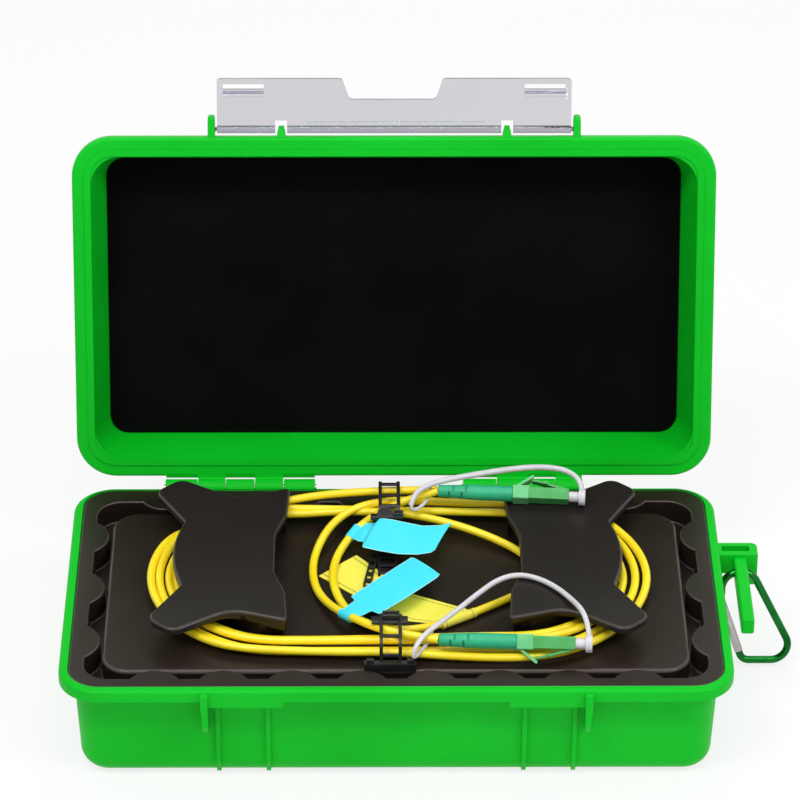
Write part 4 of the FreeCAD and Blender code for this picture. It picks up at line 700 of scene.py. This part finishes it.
def flagPoint(settings, u, v):
    # u runs from the band to the free end, v from the front edge to the back edge
    edges = [[Vector(p) for p in pair] for pair in settings["edges"]]
    if u < flagSheet["wrapShare"]:
        centre = Vector(settings["cable"])
        along = Vector(settings["along"]).normalized()
        front, back = edges[0]
        sign = 1 if (back - front).dot(along) > 0 else -1
        away = (front + back) / 2 - centre
        away = (away - along * away.dot(along)).normalized()
        up = along.cross(away)
        if up.z < 0:
            up = -up
        turned = 2 * math.pi * u / flagSheet["wrapShare"]
        middle = centre + along * ((v - 0.5) * settings["band"] * sign)
        return middle + (away * math.cos(turned) + up * math.sin(turned)) * flagSheet["bandRadius"]
    runs = settings["runs"]
    reach = (u - flagSheet["wrapShare"]) / (1 - flagSheet["wrapShare"]) * runs[-1]
    step = max(i for i in range(len(edges)) if runs[i] <= reach + hair)
    place = step + (reach - runs[step]) / (runs[step + 1] - runs[step])
    start = [flagPoint(settings, 0, 0), flagPoint(settings, 0, 1)] if step == 0 else edges[step - 1]
    front, back = [a.lerp(b, place - step) for a, b in zip(start, edges[step])]
    point = front.lerp(back, v)
    point.z += settings["belly"] * math.sin(math.pi * v) * min(1, place / 2)
    return point


for name, settings in flags.items():
    middles = [(flagPoint(settings, 0, 0) + flagPoint(settings, 0, 1)) / 2]
    middles += [(Vector(front) + Vector(back)) / 2 for front, back in settings["edges"]]
    settings["runs"] = [0]
    for a, b in zip(middles, middles[1:]):
        settings["runs"].append(settings["runs"][-1] + (b - a).length)
    deselectAll()
    bpy.ops.mesh.primitive_grid_add(x_subdivisions=flagSheet["rows"], y_subdivisions=flagSheet["columns"], size=1)
    piece = bpy.context.object
    for vertex in piece.data.vertices:
        spot = flagPoint(settings, vertex.co.x + 0.5, vertex.co.y + 0.5)
        vertex.co = (spot + Vector((0, 0, tray))) * mm
    piece.data.uv_layers[0].name = "flat"
    applyModifier(piece, "SOLIDIFY", thickness=flagSheet["thick"] * mm, offset=0)
    smoothShading(flagSheet["smooth"])
    finishPiece(piece, name, "base", settings["slot"])
    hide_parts(settings["node"])
print("labels wrapped")

# ladder ties: rails and rungs looped round the bundle, a head, and a tail lying on the tray
strapShape = {"thick": 0.9, "step": 0.4, "rung": 1.25, "edge": 0.14, "segments": 2, "merge": 0.005, "smooth": 35}
blockShape = {"edge": 0.3, "segments": 3, "hollowDeep": 1.1, "hollowLean": 0.05}
ties = {
    "ladderFront": {
        "node": "ladder_tie_front", "middle": -2, "width": 8, "rail": 1.25, "pitch": 9, "first": 8.5, "corner": 2.1,
        "loop": [(-25.2, 0.55), (-25.2, 5), (-30.5, 10.55), (-48.25, 10.55), (-48.25, 0.55)],
        "tail": {"width": 2.8, "rail": 0.7, "pitch": 4.4, "first": 2,
                 "points": [(-2.4, -29.8, 9.8), (-3.4, -25.4, 6.4), (-5.6, -18.4, 3), (-8.4, -9, 1.3),
                            (-10.4, 1.4, 1.1), (-7.4, 21.3, 1.1)]},
        "blocks": [((-8.8, -36.1, 9.7), (4.2, -31.9, 10.8), 0), ((-4.9, -34.8, 10.4), (1.2, -31.5, 12.9), 0.8)],
        "button": None},
    "ladderBack": {
        "node": "ladder_tie_back", "middle": -2, "width": 8, "rail": 1.25, "pitch": 7.3, "first": 1.25, "corner": 2.4,
        "loop": [(52.9, 0.55), (52.9, 13.1), (33.75, 13.1), (33.75, 0.55)],
        "tail": {"width": 7.2, "rail": 1, "pitch": 5, "first": 2.5,
                 "points": [(-2.6, 33.2, 9.5), (-2.7, 30, 4.6), (-2.8, 26.5, 1.4), (-2.8, 20, 0.7), (-2.8, 8, 0.7)]},
        "blocks": [((-9, 30.6, 10), (3.2, 33.3, 11.5), 0), ((-0.4, 30.8, 11.2), (3, 33.2, 13), 0.6)],
        "button": {"place": (-3.6, 31.8, 11.3), "radius": 3.2, "height": 1.8, "edge": 0.4, "segments": 4,
                   "dish": 0.7, "dishDeep": 0.25, "sides": 48, "tilt": 58}},
}


def roundedLoop(corners, radius, steps=6):
    loop = []
    for before, corner, after in zip(corners[-1:] + corners[:-1], corners, corners[1:] + corners[:1]):
        first = corner + (before - corner).normalized() * radius
        last = corner + (after - corner).normalized() * radius
        for i in range(steps + 1):
            loop.append(first.lerp(corner, i / steps).lerp(corner.lerp(last, i / steps), i / steps))
    return loop + loop[:1]


def ladderBand(line, settings):
    runs = [0]
    for a, b in zip(line, line[1:]):
        runs.append(runs[-1] + (b - a).length)
    deselectAll()
    bpy.ops.mesh.primitive_grid_add(x_subdivisions=round(runs[-1] / strapShape["step"]), y_subdivisions=3, size=1)
    band = bpy.context.object

    # the grid's four lines lie at a half and a sixth on either side: rails outside, rungs between
    def openFace(face):
        gap = ((face.center.x + 0.5) * runs[-1] - settings["first"]) / settings["pitch"]
        return abs(face.center.y) < 0.1 and abs(gap - round(gap)) * settings["pitch"] > strapShape["rung"] / 2

    pick(band, "polygons", openFace)
    bpy.ops.mesh.delete(type="FACE")
    bpy.ops.object.mode_set(mode="OBJECT")
    half = settings["width"] / 2
    for vertex in band.data.vertices:
        reach = (vertex.co.x + 0.5) * runs[-1]
        step = max(i for i in range(len(runs) - 1) if runs[i] <= reach + hair)
        ahead = (line[step + 1] - line[step]).normalized()
        spot = line[step] + ahead * (reach - runs[step])
        across = (Vector((1, 0, 0)) - ahead * ahead.x).normalized()
        side = math.copysign(half if abs(vertex.co.y) > 0.3 else half - settings["rail"], vertex.co.y)
        vertex.co = (spot + across * side + Vector((0, 0, tray))) * mm
    bpy.ops.object.mode_set(mode="EDIT")
    bpy.ops.mesh.select_all(action="SELECT")
    bpy.ops.mesh.remove_doubles(threshold=strapShape["merge"] * mm)
    bpy.ops.mesh.normals_make_consistent(inside=False)
    bpy.ops.object.mode_set(mode="OBJECT")
    applyModifier(band, "SOLIDIFY", thickness=strapShape["thick"] * mm, offset=0)
    applyModifier(band, "BEVEL", width=strapShape["edge"] * mm, segments=strapShape["segments"], limit_method="ANGLE")
    return band


def facesUp(face):
    return face.normal.z > 0.9


def tieBlock(low, high, hollow):
    deselectAll()
    bpy.ops.mesh.primitive_cube_add(size=1)
    block = bpy.context.object
    for vertex in block.data.vertices:
        vertex.co = Vector([a + (b - a) * (c + 0.5) for a, b, c in zip(low, high, vertex.co)]) * mm
        vertex.co.z += tray * mm
    if hollow:
        pick(block, "polygons", facesUp)
        bpy.ops.mesh.inset(thickness=hollow * mm, depth=0)
        bpy.ops.mesh.inset(thickness=blockShape["hollowLean"] * mm, depth=-blockShape["hollowDeep"] * mm)
        bpy.ops.object.mode_set(mode="OBJECT")
    applyModifier(block, "BEVEL", width=blockShape["edge"] * mm, segments=blockShape["segments"],
                  limit_method="ANGLE")
    return block


def tieButton(settings):
    deselectAll()
    bpy.ops.mesh.primitive_cylinder_add(vertices=settings["sides"], radius=settings["radius"] * mm,
                                        depth=settings["height"] * mm)
    button = bpy.context.object
    pick(button, "polygons", facesUp)
    bpy.ops.mesh.inset(thickness=settings["dish"] * mm, depth=-settings["dishDeep"] * mm)
    bpy.ops.object.mode_set(mode="OBJECT")
    applyModifier(button, "BEVEL", width=settings["edge"] * mm, segments=settings["segments"], limit_method="ANGLE")
    place = Matrix.Translation((Vector(settings["place"]) + Vector((0, 0, tray))) * mm)
    place = place @ Matrix.Rotation(math.radians(settings["tilt"]), 4, "X")
    for vertex in button.data.vertices:
        vertex.co = place @ vertex.co
    return button


for name, settings in ties.items():
    around = roundedLoop([Vector((settings["middle"], y, z)) for y, z in settings["loop"]], settings["corner"])
    tie = ladderBand(around, settings)
    parts = [ladderBand([Vector(point) for point in settings["tail"]["points"]], settings["tail"])]
    parts += [tieBlock(*block) for block in settings["blocks"]]
    if settings["button"]:
        parts.append(tieButton(settings["button"]))
    deselectAll()
    for part in parts + [tie]:
        part.select_set(True)
    bpy.context.view_layer.objects.active = tie
    bpy.ops.object.join()
    smoothShading(strapShape["smooth"])
    finishPiece(tie, name, "base", "black_nylon")
    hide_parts(settings["node"])
print("ladder ties looped")

# lid pad: a foam sheet cut to the lid's hollow, its sides leaning with the wall, glued under the roof
hinge = {"pin": (0, 69.1, 40.1), "open": 106.5}
lidPlace = Matrix.Translation(Vector(hinge["pin"]) * mm) @ Matrix.Rotation(math.radians(-hinge["open"]), 4, "X")
pad = {"lowHalf": (108.2, 53.7), "lean": 1.15, "thick": 4.8, "corner": 7, "cornerSegments": 12, "edge": 0.5,
       "edgeSegments": 4, "middleY": -69.1, "lowZ": 21.6, "smooth": 35}


def padHeights(edge):
    return [lidPad.data.vertices[i].co.z for i in edge.vertices]


deselectAll()
bpy.ops.mesh.primitive_cube_add(size=1)
lidPad = bpy.context.object
for vertex in lidPad.data.vertices:
    draw = pad["lean"] if vertex.co.z > 0 else 0
    x, y = [math.copysign(half - draw, vertex.co[i]) for i, half in enumerate(pad["lowHalf"])]
    vertex.co = Vector((x, y, vertex.co.z * pad["thick"])) * mm
pick(lidPad, "edges", lambda edge: max(padHeights(edge)) - min(padHeights(edge)) > pad["thick"] / 2 * mm)
bpy.ops.mesh.bevel(offset=pad["corner"] * mm, segments=pad["cornerSegments"], affect="EDGES")
pick(lidPad, "edges", lambda edge: max(padHeights(edge)) < -pad["thick"] * mm / 2 + hair)
bpy.ops.mesh.bevel(offset=pad["edge"] * mm, segments=pad["edgeSegments"], affect="EDGES")
bpy.ops.object.mode_set(mode="OBJECT")
for vertex in lidPad.data.vertices:
    vertex.co = lidPlace @ (vertex.co + Vector((0, pad["middleY"], pad["lowZ"] + pad["thick"] / 2)) * mm)
smoothShading(pad["smooth"])
finishPiece(lidPad, "lidPad", "lid", "black_foam")
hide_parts("lid_foam")
print("lid pad cut")

# stage: a pale floor and a white surround, which the camera, clear plastic and metal see at full white
stage = {"floorSize": 8, "paper": "#f4f4f4", "paperRough": 0.9, "whiteShare": 0.8, "surround": (0.45, 1.0)}


def seenAsWhite(tree):
    path = addNode(tree, "ShaderNodeLightPath")
    clear = addNode(tree, "ShaderNodeMath", {"operation": "MAXIMUM"},
                    {0: path.outputs["Is Camera Ray"], 1: path.outputs["Is Transmission Ray"]})
    shiny = addNode(tree, "ShaderNodeMath", {"operation": "MAXIMUM"},
                    {0: clear.outputs["Value"], 1: path.outputs["Is Glossy Ray"]})
    return shiny.outputs["Value"]


backdrop = bpy.data.materials.new("paperBackdrop")
backdrop.use_nodes = True
tree = backdrop.node_tree
shader = tree.nodes["Principled BSDF"]
shader.inputs["Base Color"].default_value = linearColour(stage["paper"])
shader.inputs["Roughness"].default_value = stage["paperRough"]
glow = addNode(tree, "ShaderNodeEmission", {"Color": (1, 1, 1, 1), "Strength": 1.0})
share = addNode(tree, "ShaderNodeMath", {"operation": "MULTIPLY", 1: stage["whiteShare"]}, {0: seenAsWhite(tree)})
blend = addNode(tree, "ShaderNodeMixShader", None,
                {0: share.outputs["Value"], 1: shader.outputs["BSDF"], 2: glow.outputs["Emission"]})
tree.links.new(blend.outputs["Shader"], tree.nodes["Material Output"].inputs["Surface"])
deselectAll()
bpy.ops.mesh.primitive_plane_add(size=stage["floorSize"], location=(0, 0, 0))
floor = bpy.context.object
floor.name = "floor"
floor.data.materials.append(backdrop)

world = bpy.data.worlds.new("studio")
bpy.context.scene.world = world
world.use_nodes = True
tree = world.node_tree
background = tree.nodes["Background"]
dim, full = stage["surround"]
level = addNode(tree, "ShaderNodeMapRange", {"To Min": dim, "To Max": full}, {"Value": seenAsWhite(tree)})
background.inputs["Color"].default_value = (1, 1, 1, 1)
tree.links.new(level.outputs["Result"], background.inputs["Strength"])

lampAim = (0, 0.03, 0.06)
lamps = {
    "keyLeft": {"place": (-0.55, -0.55, 1.4), "size": (0.45, 0.45), "watts": 6.9},
    "fillRight": {"place": (0.85, -0.55, 1.0), "size": (0.4, 0.4), "watts": 4.8},
    "topBack": {"place": (0.1, 0.5, 1.3), "size": (0.6, 0.6), "watts": 3},
    "frontBar": {"place": (0, -0.62, 1.4), "size": (1.2, 0.08), "watts": 5.4},
}
for name, settings in lamps.items():
    light = bpy.data.lights.new(name, "AREA")
    light.shape = "RECTANGLE"
    light.size, light.size_y = settings["size"]
    light.energy = settings["watts"]
    lamp = bpy.data.objects.new(name, light)
    lamp.location = settings["place"]
    aim = Vector(lampAim) - lamp.location
    lamp.rotation_euler = aim.to_track_quat("-Z", "Y").to_euler()
    bpy.context.collection.objects.link(lamp)

# camera: the photograph's view, worked out for an 800 by 800 image
shot = {"eye": (-11.915, -1285.093, 928.516), "tilt": 32.096, "yaw": 0.593, "roll": 0.241, "focal": 4272.9,
        "image": 800, "sensor": 36, "farClip": 20}
tilt, yaw, roll = [math.radians(shot[key]) for key in ("tilt", "yaw", "roll")]
ahead = Vector((math.sin(yaw) * math.cos(tilt), math.cos(yaw) * math.cos(tilt), -math.sin(tilt)))
right = Vector((math.cos(yaw), -math.sin(yaw), 0))
upward = right.cross(ahead)
rightRolled = right * math.cos(roll) + upward * math.sin(roll)
upRolled = upward * math.cos(roll) - right * math.sin(roll)
lens = bpy.data.cameras.new("photoCamera")
lens.sensor_fit = "HORIZONTAL"
lens.sensor_width = shot["sensor"]
lens.lens = shot["focal"] / shot["image"] * shot["sensor"]
lens.clip_end = shot["farClip"]
camera = bpy.data.objects.new("photoCamera", lens)
axes = Matrix((rightRolled, upRolled, -ahead)).transposed().to_4x4()
camera.matrix_world = Matrix.Translation(Vector(shot["eye"]) * mm) @ axes
bpy.context.collection.objects.link(camera)
bpy.context.scene.camera = camera
bpy.context.scene.view_settings.view_transform = "Standard"
print("stage and camera set")
